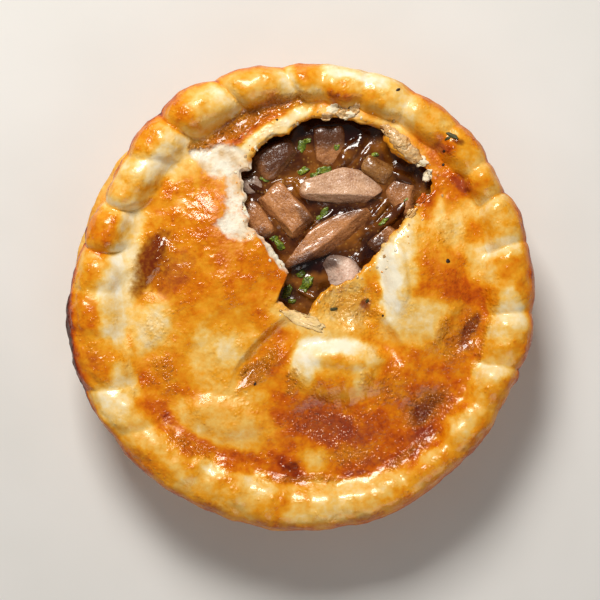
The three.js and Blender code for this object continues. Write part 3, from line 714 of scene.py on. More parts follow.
# Dark maroon stains, where filling has baked on.
MAROON_MARKS = mounds(
    (-53.2, 12.4, 20.0, 10.5, 62, 0.5), (-54.6, 14.6, 13.5, 5.4, 62, 0.84),
    (-58.8, 4.0, 6.5, 3.2, 62, 0.66), (45.1, -41.5, 9.0, 5.0, 45, 0.8), (50.2, -37.1, 5.4, 3.0, 45, 0.55),
    (62.6, -10.4, 8.4, 3.2, 54, 0.78), (59.0, -17.1, 2.9, 3.6, 0, 0.5), (-3.3, -61.9, 4.4, 2.9, 10, 0.75),
    (23.7, -1.8, 2.2, 2.9, 0, 0.6), (12.4, 73.9, 3.3, 1.8, 0, 0.5), (57.5, 56.4, 3.6, 2.2, -20, 0.75),
    (61.2, 39.3, 2.5, 1.8, 0, 0.5), (-24.8, 64.8, 8.0, 0.9, 33, 0.5), (47.3, 36.8, 2.2, 3.3, 0, 0.5),
)
# Where the egg wash is thin or missing.
WASH_MARKS = mounds(
    (-23.3, 37.1, 5.1, 16.0, -8, 0.05), (-27.3, 49.9, 13.1, 5.1, 8, 0.05), (39.3, 55.3, 9.5, 5.1, -45, 0.2),
    (16.7, 68.1, 7.3, 3.3, 0, 0.2), (-53.5, -10.9, 6.9, 10.2, 0, 0.45), (-28.4, -46.2, 18.2, 6.6, -8, 0.4),
    (53.1, 22.6, 5.1, 8.7, -10, 0.4), (15.3, -18.2, 14.6, 2.9, -8, 0.5), (47.3, -8.4, 9.5, 5.8, 10, 0.5),
    (1.8, -9.1, 10.2, 2.9, -25, 0.4),
)
# Bare, floury dough.
BARE_MARKS = mounds(
    (-27.2, 49.2, 13.0, 9.0, -14, 1.0), (-23.4, 36.0, 7.0, 19.0, -4, 0.66),
    (-23.0, 25.2, 11.0, 6.2, -14, 0.75), (16.0, 67.7, 10.0, 3.2, -8, 0.55),
    (39.0, 55.5, 10.4, 5.6, -45, 0.3), (-34.6, 52.0, 8.0, 4.0, -8, 0.8), (46.6, 44.4, 2.5, 2.5, 0, 0.9),
    (-8.4, 14.6, 10.5, 2.6, -51, 0.85), (0.0, -7.6, 8.7, 2.5, -25, 0.7),
)


PASTRY_MARKS = ("bake", "amber", "mauve", "maroon", "wash", "bare")


@dataclass
class PastryTop:
    """The rope rim, the lid and its torn edge, as one closed skin that lies on the case."""

    column_count: int = 676
    rope_rings: int = 50
    lid_rings: int = 72
    edge_rings: int = 7
    under_rings: int = 5
    rope_half_height: float = 8.0
    rope_z: float = 34.6
    crease_inward: float = 1.4
    crease_outward: float = 2.4
    crease_down: float = 0.38
    rope_start: float = -80
    rope_foot: float = 166
    foot_blend: float = 20
    seat_z: float = 29.2
    tear_crag: float = 1.0
    flaky_side: float = math.radians(168)
    edge_drop: float = 1.8
    edge_width: float = 2.0
    inner_margin: float = 0.6
    swell: Layer = Layer(0.75, 12.0)
    low_swell: Layer = Layer(0.24, 4.2)
    wrinkle: Layer = Layer(0.12, 1.9)
    fine_wrinkle: Layer = Layer(0.06, 1.2)
    blister: Layer = Layer(0.28, 3.1)
    pimple: Layer = Layer(0.3, 1.7)
    bubble: Layer = Layer(0.5, 2.4)
    glossy_fold: Layer = Layer(0.34, 3.4)
    crumb: Layer = Layer(0.9, 3.4)
    crumb_lump: Layer = Layer(0.5, 4.2)

    def __post_init__(self) -> None:
        """Lays out the columns."""
        self.columns = Columns(self.column_count)

    def rope_points(self, degrees: float) -> Array:
        """Points of the rope's skin at one turn, 0 outermost, 90 on top and 180 innermost."""
        turn = math.radians(degrees)
        columns = self.columns
        hollow = columns.hollow()
        slant, bulge = columns.between_creases("slant"), columns.between_creases("bulge")
        lean = slant * math.cos(turn) + bulge * math.sin(turn)
        angle = columns.angle + np.radians(lean)
        inner = columns.blended("inner") + self.crease_outward * hollow
        outer = columns.blended("outer") - self.crease_inward * hollow
        height = (self.rope_half_height + columns.blended("rise")) * (1 - self.crease_down * hollow)
        radius = (inner + outer) / 2 + (outer - inner) / 2 * math.cos(turn)
        z = np.maximum(self.rope_z + height * math.sin(turn), self.seat_z)
        return stacked(radius * np.cos(angle), radius * np.sin(angle), z)

    def worn(self, past: Array) -> Array:
        """How far the broken pastry has crumbled away below the lid's face, from the tear outwards."""
        share = np.clip(1 - past / self.edge_width, 0, 1)
        return self.edge_drop * (1 - np.sqrt(1 - share**2 * 0.98))

    def soften_foot(self, points: Array) -> Array:
        """Rounds the line where the rope runs into the lid."""
        ring = np.arange(points.shape[1])
        share = 0.5 * np.exp(-(((ring - self.rope_rings) / 7.0) ** 2))[None, :, None]
        for _ in range(40):
            beside = (np.roll(points, 1, axis=1) + np.roll(points, -1, axis=1)) / 2
            points = mix(points, beside, share)
        return points

    def skin(self) -> Array:
        """The grid of the whole top before its fine relief, as columns, rings and x, y, z."""
        turns = np.linspace(self.rope_start, self.rope_foot, self.rope_rings)
        rings = []
        for turn in turns:
            x, y, z = parts(self.rope_points(turn))
            joined = ease(turn, self.rope_foot - self.foot_blend, self.rope_foot)
            rings.append(stacked(x, y, mix(z, FORM.lid_height(x, y), joined)))
        angle, far = FORM.seen_from_hole(x, y)
        crag = self.tear_crag * GRAIN.cloud(stacked(angle * 26, 0, 0), 7.0, 4)
        near = np.minimum(FORM.tear_reach(angle) + crag, far - self.inner_margin)
        for share in np.linspace(1, 0, self.lid_rings + 1)[1:]:
            x, y = FORM.on_ray(angle, mix(near, far, share))
            z = FORM.lid_height(x, y) - self.worn(FORM.seen_from_hole(x, y)[1] - near)
            rings.append(stacked(x, y, z))
        for step in range(1, self.edge_rings + 1):
            down = step / (self.edge_rings + 1)
            x, y = FORM.on_ray(angle, near + 1.0 * down - 0.5 * math.sin(math.pi * down))
            rings.append(stacked(x, y, z - (FORM.lid_thickness - self.edge_drop) * down))
        rim_x, rim_y, rim_z = parts(self.columns.ring(FORM.inner_radius(FORM.case_top_z), FORM.inner_rim_z))
        angle, far = FORM.seen_from_hole(rim_x, rim_y)
        near = np.minimum(FORM.tear_reach(angle) + 0.9, far - self.inner_margin)
        for share in np.linspace(0, 1, self.under_rings):
            x, y = FORM.on_ray(angle, mix(near, far, share))
            rings.append(stacked(x, y, FORM.lid_underside(x, y) if share < 1 else rim_z))
        return self.soften_foot(np.stack(rings, axis=1))

    def zones(self) -> dict[str, Array]:
        """The share of each ring that belongs to the rope, the lid's face and the torn edge."""
        seat_rings = 4
        last_lid = self.rope_rings + self.lid_rings
        last_edge = last_lid + self.edge_rings
        ring = np.arange(last_edge + self.under_rings)[None, :]
        return {
            "rope": (ring < self.rope_rings) * 1.0,
            "lid": ((ring >= self.rope_rings) & (ring < last_lid)) * 1.0,
            "edge": ((ring >= last_lid) & (ring < last_edge)) * 1.0,
            "hidden": ((ring >= last_edge) | (ring < seat_rings)) * 1.0,
        }

    def build(self) -> Piece:
        """Makes the piece with its relief and the marks of how it baked."""
        shell = Shell("pastry_top", self.skin(), closed_rings=True)
        zones = self.zones()
        shell.marks = self.baked(shell.points, zones)
        shell.push(self.relief(shell.points, zones, shell.marks))
        return shell.make()

    def baked(self, points: Array, zones: dict[str, Array]) -> dict[str, Array]:
        """How the pastry baked: its browning, stains, bare dough and glaze, each between 0 and 1; the
        browning and the amber also carry painted highlights and shade.
        """
        x, y, z = parts(points)
        rope, edge, face = zones["rope"], zones["edge"], 1 - zones["hidden"]
        hollow = self.columns.hollow()[:, None] * rope
        side = ease(np.hypot(x, y) - 0.6 * (z - self.rope_z), 77.5, 85.5) * rope
        flaky = (0.3 * self.flaking(points) + 0.3 * ease(self.leftness(points), 0.7, 0.95)) * side
        bake = shaded(mix(0.53, 0.43, rope) + 0.16 * GRAIN.cloud(points, 9.0), BAKE_AND_LIGHT_MARKS, points)
        # 0.32 * hollow**4 paints a dark line of shade in the deepest creases, and 0.2 * side darkens the
        # rope's outer side as painted shade.
        bake = bake - 0.02 * rope - 0.24 * hollow * (1 - side) + 0.32 * hollow**4 + 0.2 * side + flaky
        bake = bake + 0.13 * GRAIN.cloud(points, 4.6)
        rose = 0.4 * side * (0.6 + 0.8 * GRAIN.wave(points, 8.0))
        mauve = np.clip(np.maximum(stain(MAUVE_MARKS, points), rose), 0, 1)
        inside = ease(0.9 * GRAIN.wave(points, 4.0) - FORM.past_tear(x, y), -2.0, -0.2) * (1 - rope)
        floury = 0.12 + 0.6 * ease(-x, 4, 16) * ease(54 - y, 0, 9) + 0.4 * GRAIN.wave(points, 7.0)
        torn = np.clip(floury, 0, 0.9) * np.maximum(inside, 0.5 * edge)
        wash = shaded(0.85 - 0.6 * side, WASH_MARKS, points) * face
        return {
            "bake": mix(np.clip(bake, 0, 1), 0.56, np.maximum(edge, 0.4 * inside)),
            "amber": stain(AMBER_AND_SHADE_MARKS, points) * face,
            "mauve": mauve * face,
            "maroon": stain(MAROON_MARKS, points, 0.6) * face,
            "wash": wash * (1 - 0.8 * edge),
            "bare": np.maximum(stain(BARE_MARKS, points, 0.8) * face, torn),
        }

    def leftness(self, points: Array) -> Array:
        """How much each place faces the flaky side, from -1 to 1."""
        return np.cos(np.arctan2(points[..., 1], points[..., 0]) - self.flaky_side)

    def flaking(self, points: Array) -> Array:
        """The layers along the rope's outer side, most of all on the left, between -1 and 1."""
        layers = GRAIN.cloud(points * np.array([0.3, 0.3, 1.3]), 2.4)
        return np.clip(1.8 * layers, -1, 1) * (0.35 + 0.65 * ease(self.leftness(points), 0.6, 0.92))

    def relief(self, points: Array, zones: dict[str, Array], marks: dict[str, Array]) -> Array:
        """How far the fine relief stands out from the plain skin, in millimetres."""
        x, y, _ = parts(points)
        skin = self.swell.cloud(points, 2) + self.low_swell.wave(points)
        rough = ease(GRAIN.wave(points + 40, 15.0), -0.2, 0.5)
        skin = skin + (self.wrinkle.wave(points) + self.fine_wrinkle.wave(points)) * mix(0.35, 1.2, rough)
        skin = skin + self.blister.domes(points, 0.55) * ease(GRAIN.wave(points, 14.0), -0.1, 0.5)
        sticky = np.maximum(marks["amber"], marks["maroon"])
        bubbled = marks["maroon"] * ease(x, -30, 10)
        pimpled = (sticky - marks["maroon"] + bubbled).clip(0, 1)
        pimples = self.pimple.domes(points, 0.7) * pimpled
        skin = skin + (pimples + self.bubble.domes(points, 0.8) * bubbled)
        browned = ease(marks["bake"], 0.42, 0.6) * ease(marks["wash"], 0.3, 0.7) * (1 - marks["maroon"])
        glossy = browned * ease(GRAIN.wave(points - 25, 11.0), -0.3, 0.35)
        skin = skin + self.glossy_fold.cloud(points, 2) * glossy
        skin = skin + 0.5 * self.flaking(points) * (ease(np.hypot(x, y), 76, 82) * zones["rope"])
        torn = ease(-FORM.past_tear(x, y), -2.4, 0.0) * (1 - zones["rope"])
        crumb = torn * (self.crumb.cloud(points) + self.crumb_lump.domes(points, 0.5) - 0.2)
        step = -0.6 * ease(marks["bare"], 0.25, 0.75) * zones["lid"]
        return (skin + crumb + step) * (1 - zones["hidden"])


@dataclass
class PastryCase:
    """The case of lower pastry: its base, side and the lip under the rope, hollow inside."""

    column_count: int = 420
    base_rings: int = 16
    side_rings: int = 26
    lip_rings: int = 9
    side_top_z: float = 25.5
    lip_radius: float = 83.6
    lip_z: float = 28.8
    lip_top_z: float = 29.6
    swell: Layer = Layer(0.35, 14.0)
    wrinkle: Layer = Layer(0.12, 3.0)
    dent: Layer = Layer(-0.25, 4.0)
    flake: Layer = Layer(0.25, 6.0)

    def skin(self) -> Array:
        """The grid of the whole case before its fine relief, as columns, rings and x, y, z."""
        place = Columns(self.column_count).ring
        fringe = GRAIN.cloud(place(40.0, 0), 5.0)
        flat = FORM.base_radius - FORM.base_corner
        rings = [place(0.0, 0.0)] + [place(radius, 0.0) for radius in np.linspace(6, flat, self.base_rings)]
        for turn in np.radians((30, 60)):
            radius = flat + FORM.base_corner * math.sin(turn)
            rings.append(place(radius, FORM.base_corner * (1 - math.cos(turn))))
        for z in np.linspace(FORM.base_corner, self.side_top_z, self.side_rings):
            rings.append(place(FORM.case_radius(z), z))
        top = FORM.case_radius(self.side_top_z)
        for share in np.linspace(0.2, 1, self.lip_rings):
            radius = top + (self.lip_radius - top) * share
            z = self.side_top_z + (self.lip_z - 1.0 - self.side_top_z) * share**0.7
            rings.append(place(radius + 0.7 * fringe * share**3, z))
        rings.append(place(self.lip_radius + 0.25 + 0.8 * fringe, self.lip_z - 0.2))
        rings.append(place(self.lip_radius - 0.4 + 0.8 * fringe, self.lip_top_z - 0.1))
        inner = FORM.inner_radius(FORM.case_top_z)
        rings += [place(radius, self.lip_top_z) for radius in (81.0, 76.0, inner)]
        rings += [place(FORM.inner_radius(z), z) for z in (24.0, 16.0, FORM.crust_thickness + 2)]
        floor = FORM.inner_radius(0) - FORM.base_corner
        rings += [place(radius, FORM.crust_thickness) for radius in (floor, 30.0, 0.0)]
        return np.stack(rings, axis=1)

    def build(self) -> Piece:
        """Makes the piece with its relief and the marks of how it baked."""
        shell = Shell("pastry_case", self.skin(), closed_rings=False)
        points = shell.points
        x, y, z = parts(points)
        away = np.hypot(x, y)
        outer_rings = 1 + self.base_rings + 2 + self.side_rings + self.lip_rings + 2
        body = (np.arange(points.shape[1])[None, :] < outer_rings) * ease(z, 0.0, 2.5)
        flake = self.flake.wave(points * np.array([1, 1, 4])) * ease(away, 74, 82)
        swell = self.swell.cloud(points, 2) + self.wrinkle.wave(points)
        shell.push((swell + self.dent.domes(points, 0.4) + flake) * body)
        patchy = 0.12 * GRAIN.cloud(points, 16.0) + 0.05 * GRAIN.wave(points, 4.0)
        bake = 0.44 + patchy + 0.1 * ease(-z, -6, 0) - 0.08 * ease(away, 76, 84)
        shell.marks = {mark: np.zeros_like(bake) for mark in PASTRY_MARKS}
        shell.marks["bake"] = np.clip(bake, 0, 1)
        shell.marks["mauve"] = np.clip(0.25 + 0.5 * GRAIN.wave(points, 12.0), 0, 0.5) * body
        shell.marks["wash"] += 0.15
        return shell.make()


@dataclass
class Gravy:
    """The gravy that fills the case and shows in the hole."""

    column_count: int = 480
    surface_rings: int = 110
    open_share: float = 0.85
    wave: Layer = Layer(0.6, 8.0)
    fine_wave: Layer = Layer(0.16, 2.6)
    bubble: Layer = Layer(0.3, 2.0)
    climb_height: float = 0.55
    climb_width: float = 1.7

    def wall(self, z: float) -> float:
        """The gravy's outer radius at this height."""
        return FORM.inner_radius(z) - FORM.wall_gap

    def build(self) -> Piece:
        """Makes the piece, its surface drawn up where it meets the meat and the crust."""
        place = Columns(self.column_count).ring
        floor = FORM.crust_thickness + 0.3
        rings = [
            place(0.0, floor),
            place(FORM.inner_radius(0) - FORM.base_corner - 0.3, floor),
            place(self.wall(FORM.base_corner), floor + 2),
            place(self.wall(16), 16),
            place(self.wall(FORM.case_top_z), FORM.inner_rim_z - FORM.headroom),
        ]
        x, y, _ = parts(rings[-1])
        angle, far = FORM.seen_from_hole(x, y)
        middle = np.minimum(FORM.tear_reach(angle) + 4.0, far)
        for share in np.linspace(1, 0, self.surface_rings):
            hidden = (share - self.open_share) / (1 - self.open_share)
            reach = mix(middle, far, hidden) if hidden > 0 else middle * share / self.open_share
            x, y = FORM.on_ray(angle, reach)
            rings.append(stacked(x, y, FORM.gravy_height(x, y) + self.ripple(x, y)))
        shell = Shell("gravy_pool", np.stack(rings, axis=1), closed_rings=False)
        # The painted shade of the lid and of the gaps between the pieces.
        shell.marks = {"soak": stain(SHADE_MARKS, shell.points, 0.7)}
        return shell.make()

    def ripple(self, x: Array, y: Array) -> Array:
        """Height of the ripples and of the thick gravy that clings to the meat and the crust."""
        points = stacked(x, y, 0.0)
        waves = self.wave.cloud(points, 2) + self.fine_wave.wave(points)
        bubbles = self.bubble.domes(points, 0.12)
        beside = np.min([np.clip(cut.beside(x, y), 0, None) for cut in MEAT], axis=0)
        climb = self.climb_height * np.exp(-beside / self.climb_width)
        inside = ease(-FORM.past_tear(x, y), -1.0, 2.0)
        return (waves + heaped(GRAVY_RIBS, x, y) + bubbles + climb) * inside


@dataclass(frozen=True)
class Cut:
    """One cut piece of meat: its middle, sizes, turn and tilts in degrees, boxiness and flat knife cuts.

    Each flat cut is an outward direction and its distance from the middle, before the piece is tilted.
    """

    name: str
    at: tuple[float, float, float]
    size: tuple[float, float, float]
    turn: float
    roll: float = 0.0
    pitch: float = 0.0
    box: float = 4.0
    seed: int = 1
    cuts: tuple = ()
    unevenness: float = 0.05
    steps: int = 34
    rounding: float = 0.45

    @property
    def kind(self) -> str:
        """Whether the piece is steak or kidney."""
        return self.name.split("_")[0]

    def beside(self, x: Array, y: Array) -> Array:
        """How far each place lies outside the piece's outline seen from above, in millimetres."""
        along, across = turned(x, y, self.at, self.turn)
        oval = np.abs(2 * along / self.size[0]) ** self.box + np.abs(2 * across / self.size[1]) ** self.box
        away = (oval ** (1 / self.box) - 1) * min(self.size[:2]) / 2
        for way_x, way_y, way_z, reach in self.cuts:
            if way_z == 0:
                away = np.maximum(away, (along * way_x + across * way_y) / math.hypot(way_x, way_y) - reach)
        return away

    def build(self) -> Piece:
        """Makes the piece, rounded and cut like its solid, with its grain and pits cut into it."""
        bm = bmesh.new()
        bmesh.ops.create_cube(bm, size=2)
        bmesh.ops.subdivide_edges(bm, edges=bm.edges, cuts=self.steps, use_grid_fill=True)
        mesh, point = mesh_of(bm, "cut_" + self.name)
        point = point / np.linalg.norm(point, axis=1)[:, None]
        power = (np.abs(point) ** self.box).sum(axis=1) ** (-1 / self.box)
        point = point * power[:, None]
        swell = 1 + self.unevenness * unevenness(point[:, 0], point[:, 1], point[:, 2], 2.2, self.seed)
        own = point * np.array(self.size) / 2 * swell[:, None]
        outward = point * np.abs(point) ** 2
        for *way, reach in self.cuts:
            unit = np.array(way) / np.linalg.norm(way)
            past = own @ unit - reach
            soft = np.clip(past + self.rounding, 0, 2 * self.rounding) ** 2 / (4 * self.rounding)
            push = np.where(past > self.rounding, past, soft)
            own = own - push[:, None] * unit
            outward = outward + (push > 0.2)[:, None] * np.array(way)
        outward = outward / np.maximum(np.linalg.norm(outward, axis=1)[:, None], 1e-6)
        own = own + outward * self.relief(own)[:, None]
        placed = own @ self.frame().T + np.array(self.at)
        put_points(mesh, placed)
        # The painted shade: darker under the lid's edge and deeper in the gravy.
        put_mark(mesh, "soak", painted_shade(placed))
        grain = mesh.attributes.new("own_place", "FLOAT_VECTOR", "POINT")
        grain.data.foreach_set("vector", (own + 10.0 * self.seed).astype(np.float32).ravel())
        return finish_mesh(mesh)

    def frame(self) -> Array:
        """The piece's turn: roll about its length, then pitch, then turn about the upright."""
        angles = zip((self.turn, self.pitch, self.roll), "ZYX")
        turn, pitch, roll = (Matrix.Rotation(math.radians(angle), 3, axis) for angle, axis in angles)
        return np.array(turn @ pitch @ roll)

    def relief(self, own: Array) -> Array:
        """How far the grain stands out, in millimetres."""
        grain = Grain(self.seed + 40)
        fibre = 0.1 * grain.wave(own * np.array([0.6, 1.0, 1.0]), 1.5) + 0.1 * grain.wave(own, 1.0)
        return fibre + 0.3 * grain.cloud(own, 5.0, 2) - 0.12 * grain.domes(own, 1.6, 0.5)


MEAT = [
    Cut("steak_wedge", (10.9, 20.6, 27.3), (37, 14, 13), 29, -8, 0, 8, 3,
        ((-0.396, 0.918, 0, 7.3), (-0.17, -0.985, 0, 4.9), (0.28, 0.96, 0, 8.2), (0.28, -0.96, 0, 7.4),
         (0.15, -0.75, 0.64, 4.6))),
    Cut("steak_centre", (15.0, 40.6, 27.2), (30, 13.5, 12), -9, -10, 4, 8, 8,
        ((0.5, 0.866, 0, 8.4), (0.7, -0.714, 0, 10.6), (-0.47, 0.883, 0, 6), (0.1, -0.86, 0.5, 6.4))),
    Cut("steak_left", (-4.6, 31.7, 26.9), (20.4, 11.8, 12), -48, 4, -5, 9, 5,
        ((0.85, 0, 0.53, 9.6), (0, -0.8, 0.6, 6.4))),
    Cut("kidney_round", (15.2, 9.2, 26.6), (15.5, 12, 12), -20, 0, 0, 3, 11, ((-0.3, -0.35, 0.89, 5),)),
    Cut("steak_top", (10.2, 56.0, 25.2), (13.5, 15.4, 11), 4, 5, 0, 6, 2, ((-0.8, 0, 0.6, 6.6),)),
    Cut("steak_shaded", (-8.8, 50.8, 25.9), (17, 13, 12), 28, 0, 0, 4, 14, ((0.3, -0.7, 0.65, 6),)),
    Cut("steak_edge", (-15.8, 28.2, 25.8), (15, 8.5, 11), -55, 0, 0, 5, 9),
    Cut("kidney_piece", (-17.6, 41.6, 25.8), (8.5, 9, 10), 20, 0, 0, 2.6, 17),
    Cut("kidney_folded", (28.2, 47.2, 26.4), (14, 9, 11), -32, 0, 0, 3, 21, ((0, 0.7, 0.71, 5),)),
    Cut("steak_sunk", (38.6, 37.0, 25.4), (15, 12, 11), -48, 0, 0, 4, 24, ((0.5, 0.5, 0.7, 5.4),)),
    Cut("steak_under_lid", (31.2, 20.6, 25.6), (12, 9, 11), 42, 0, 0, 5, 27),
]

# Painted shade on the gravy and the meat: the lid's shadow in the top of the hole, and shade beside and
# under the pieces.
SHADE_MARKS = mounds(
    (12.0, 62.0, 26.0, 9.5, 0, 1.2), (-9.5, 53.0, 13.0, 11.0, 25, 1.1), (-17.5, 41.0, 5.0, 13.0, -12, 0.7),
    (36.0, 46.0, 11.0, 8.0, -35, 0.75), (5.0, 12.5, 16.0, 5.6, 12, 1.2), (14.0, 31.6, 15.0, 3.8, 12, 0.9),
    (26.0, 17.5, 10.5, 5.4, 50, 1.2), (-3.0, 1.0, 6.0, 5.0, 0, 0.7), (-13.0, 20.0, 8.0, 5.5, -45, 1.0),
    (1.6, 29.6, 7.0, 2.6, -52, 0.8), (28.5, 47.0, 11.0, 8.0, -32, 0.5), (11.0, 3.0, 8.0, 4.0, -20, 0.6),
)


def painted_shade(points: Array) -> Array:
    """How strong the painted shade on the gravy and what lies in it is at each point, stronger the deeper it
    lies.
    """
    deep = ease(-points[..., 2], -31.5, -28.0)
    return np.clip(np.maximum(stain(SHADE_MARKS, points, 0.7), 0.75 * deep), 0, 1)


# Thick gravy that stands up in rounded ribs beside the meat and along the crust.
GRAVY_RIBS = mounds(
    (6.5, 27.0, 9.0, 1.8, 40, 1.2), (34.5, 30.5, 12.5, 3.0, 43, 1.6), (29.0, 31.5, 8.0, 2.0, 48, 0.9),
    (18.5, 53.5, 10.0, 3.6, 47, 1.8), (23.5, 51.0, 7.0, 2.4, 60, 1.1), (0.5, 38.5, 6.5, 1.6, -58, 1.3),
    (-6.0, 42.0, 6.0, 1.8, 10, 0.9), (-16.0, 40.0, 5.0, 1.6, -30, 1.0), (4.5, 0.0, 7.0, 1.6, -25, 1.1),
    (38.0, 44.0, 6.0, 2.2, -30, 1.1),
)


class Wiring:
    """Adds shader nodes to one tree and links them."""

    MIXERS = {"FLOAT": (2, 3, 0), "RGBA": (6, 7, 2)}

    def __init__(self, tree: bpy.types.NodeTree) -> None:
        """Keeps the tree."""
        self.tree = tree

    def add(self, kind: str, settings: dict | None = None, **inputs: object) -> Node:
        """Adds a node.

        Args:
            kind: Blender's name for the node.
            settings: the node's own options.
            **inputs: a value or a socket for each named input, with _ for a space.

        Returns:
            The new node.
        """
        node = self.tree.nodes.new(kind)
        for key, value in (settings or {}).items():
            setattr(node, key, value)
        self.feed(node, {name.replace("_", " "): value for name, value in inputs.items()})
        return node

    def feed(self, node: Node, inputs: dict) -> None:
        """Links the node's inputs, or gives them plain values, by name or number."""
        for key, value in inputs.items():
            if isinstance(value, Socket):
                self.tree.links.new(value, node.inputs[key])
            else:
                node.inputs[key].default_value = value

    def sum(self, operation: str, *values: object) -> Socket:
        """One step of arithmetic."""
        node = self.add("ShaderNodeMath", {"operation": operation})
        self.feed(node, dict(enumerate(values)))
        return node.outputs[0]

    def plus(self, a: object, b: object) -> Socket:
        """Adds two values."""
        return self.sum("ADD", a, b)

    def times(self, a: object, b: object) -> Socket:
        """Multiplies two values."""
        return self.sum("MULTIPLY", a, b)

    def span(self, value: object, low: float, high: float, start: float = 0.0, end: float = 1.0,
             kind: str = "SMOOTHSTEP") -> Socket:
        """Brings the value from low..high to start..end, and holds it there."""
        node = self.add("ShaderNodeMapRange", {"interpolation_type": kind, "clamp": True})
        self.feed(node, dict(enumerate((value, low, high, start, end))))
        return node.outputs[0]

    def blend(self, a: object, b: object, share: object, kind: str = "RGBA") -> Socket:
        """Blends two colours, or two values where the kind is FLOAT."""
        first, second, result = self.MIXERS[kind]
        node = self.add("ShaderNodeMix", {"data_type": kind, "clamp_factor": True})
        self.feed(node, {0: share, first: a, second: b})
        return node.outputs[result]

    def mark(self, name: str) -> Socket:
        """The value of one of the mesh's own marks."""
        return self.add("ShaderNodeAttribute", {"attribute_name": name}).outputs["Fac"]

    def place(self) -> Socket:
        """The point in the object's own coordinates, in metres."""
        return self.add("ShaderNodeTexCoord").outputs["Object"]

    def effect(self, name: str, **inputs: object) -> list[Socket]:
        """Places a shared effect in this tree, and gives its outputs."""
        node = self.add("ShaderNodeGroup", {"node_tree": bpy.data.node_groups[name]}, **inputs)
        return list(node.outputs)


def per_mm(size: float) -> float:
    """The texture scale that gives features this many millimetres apart."""
    return 1 / (size * MM)


class Effects:
    """The shader effects that several finishes share."""

    def __init__(self) -> None:
        """Builds every group once."""
        self.mottling()
        self.glaze()
        self.specks()

    @staticmethod
    def group(name: str, inputs: dict[str, float], outputs: list[str]) -> tuple[Wiring, dict, Node]:
        """Makes an empty group with a vector input, the named values and the named outputs."""
        tree = bpy.data.node_groups.new(name, "ShaderNodeTree")
        tree.interface.new_socket("Vector", in_out="INPUT", socket_type="NodeSocketVector")
        for key, value in inputs.items():
            socket = tree.interface.new_socket(key, in_out="INPUT", socket_type="NodeSocketFloat")
            socket.default_value = value
        for key in outputs:
            tree.interface.new_socket(key, in_out="OUTPUT", socket_type="NodeSocketFloat")
        w = Wiring(tree)
        return w, w.add("NodeGroupInput").outputs, w.add("NodeGroupOutput")

    def mottling(self) -> None:
        """Patches of a broad and a fine size, centred on 0."""
        w, given, end = self.group("Mottling", {"Broad": 100.0, "Fine": 500.0}, ["Broad", "Fine"])
        for name, detail in (("Broad", 3.0), ("Fine", 2.0)):
            noise = w.add("ShaderNodeTexNoise", Vector=given["Vector"], Scale=given[name], Detail=detail,
                          Roughness=0.55)
            w.feed(end, {name: w.sum("SUBTRACT", noise.outputs["Fac"], 0.5)})

    def glaze(self) -> None:
        """The fine skin of baked egg wash: wrinkles, and pimples where it bubbled."""
        w, given, end = self.group("Glaze Skin", {"Scale": 700.0, "Pimples": 0.5}, ["Height"])
        wrinkle = w.add("ShaderNodeTexNoise", Vector=given["Vector"], Scale=given["Scale"], Detail=3.0,
                        Roughness=0.55, Distortion=0.6)
        cells = w.add("ShaderNodeTexVoronoi", {"feature": "SMOOTH_F1"}, Vector=given["Vector"],
                      Scale=given["Scale"], Smoothness=0.35)
        pimple = w.times(w.span(cells.outputs["Distance"], 0.55, 0.0), given["Pimples"])
        w.feed(end, {"Height": w.plus(pimple, wrinkle.outputs["Fac"])})

    def specks(self) -> None:
        """Small separate specks."""
        w, given, end = self.group("Specks", {"Scale": 400.0, "Share": 0.1}, ["Mask"])
        cells = w.add("ShaderNodeTexVoronoi", Vector=given["Vector"], Scale=given["Scale"])
        split = w.add("ShaderNodeSeparateColor", Color=cells.outputs["Color"])
        chosen = w.sum("LESS_THAN", split.outputs[0], given["Share"])
        w.feed(end, {"Mask": w.times(chosen, w.span(cells.outputs["Distance"], 0.42, 0.22))})


class Finish:
    """A procedural material with one Principled shader."""

    def __init__(self, name: str, **plain: object) -> None:
        """Makes the material.

        Args:
            name: the material's name.
            **plain: the values that are the same all over, by the shader's socket names.
        """
        self.material = bpy.data.materials.new(name)
        self.material.use_nodes = True
        self.material.node_tree.nodes.clear()
        self.wiring = Wiring(self.material.node_tree)
        self.shader = self.wiring.add("ShaderNodeBsdfPrincipled", None, **plain)
        self.wiring.add("ShaderNodeOutputMaterial", Surface=self.shader.outputs["BSDF"])

    def bump(self, height: Socket, depth: float) -> None:
        """Raises the surface by the height, which spans about 0 to 1, times the depth in millimetres."""
        node = self.wiring.add("ShaderNodeBump", None, Strength=1.0, Distance=depth * MM, Height=height)
        self.wiring.feed(self.shader, {"Normal": node.outputs["Normal"]})

    def dress(self, piece: Piece) -> None:
        """Gives the finish to a piece."""
        piece.data.materials.clear()
        piece.data.materials.append(self.material)


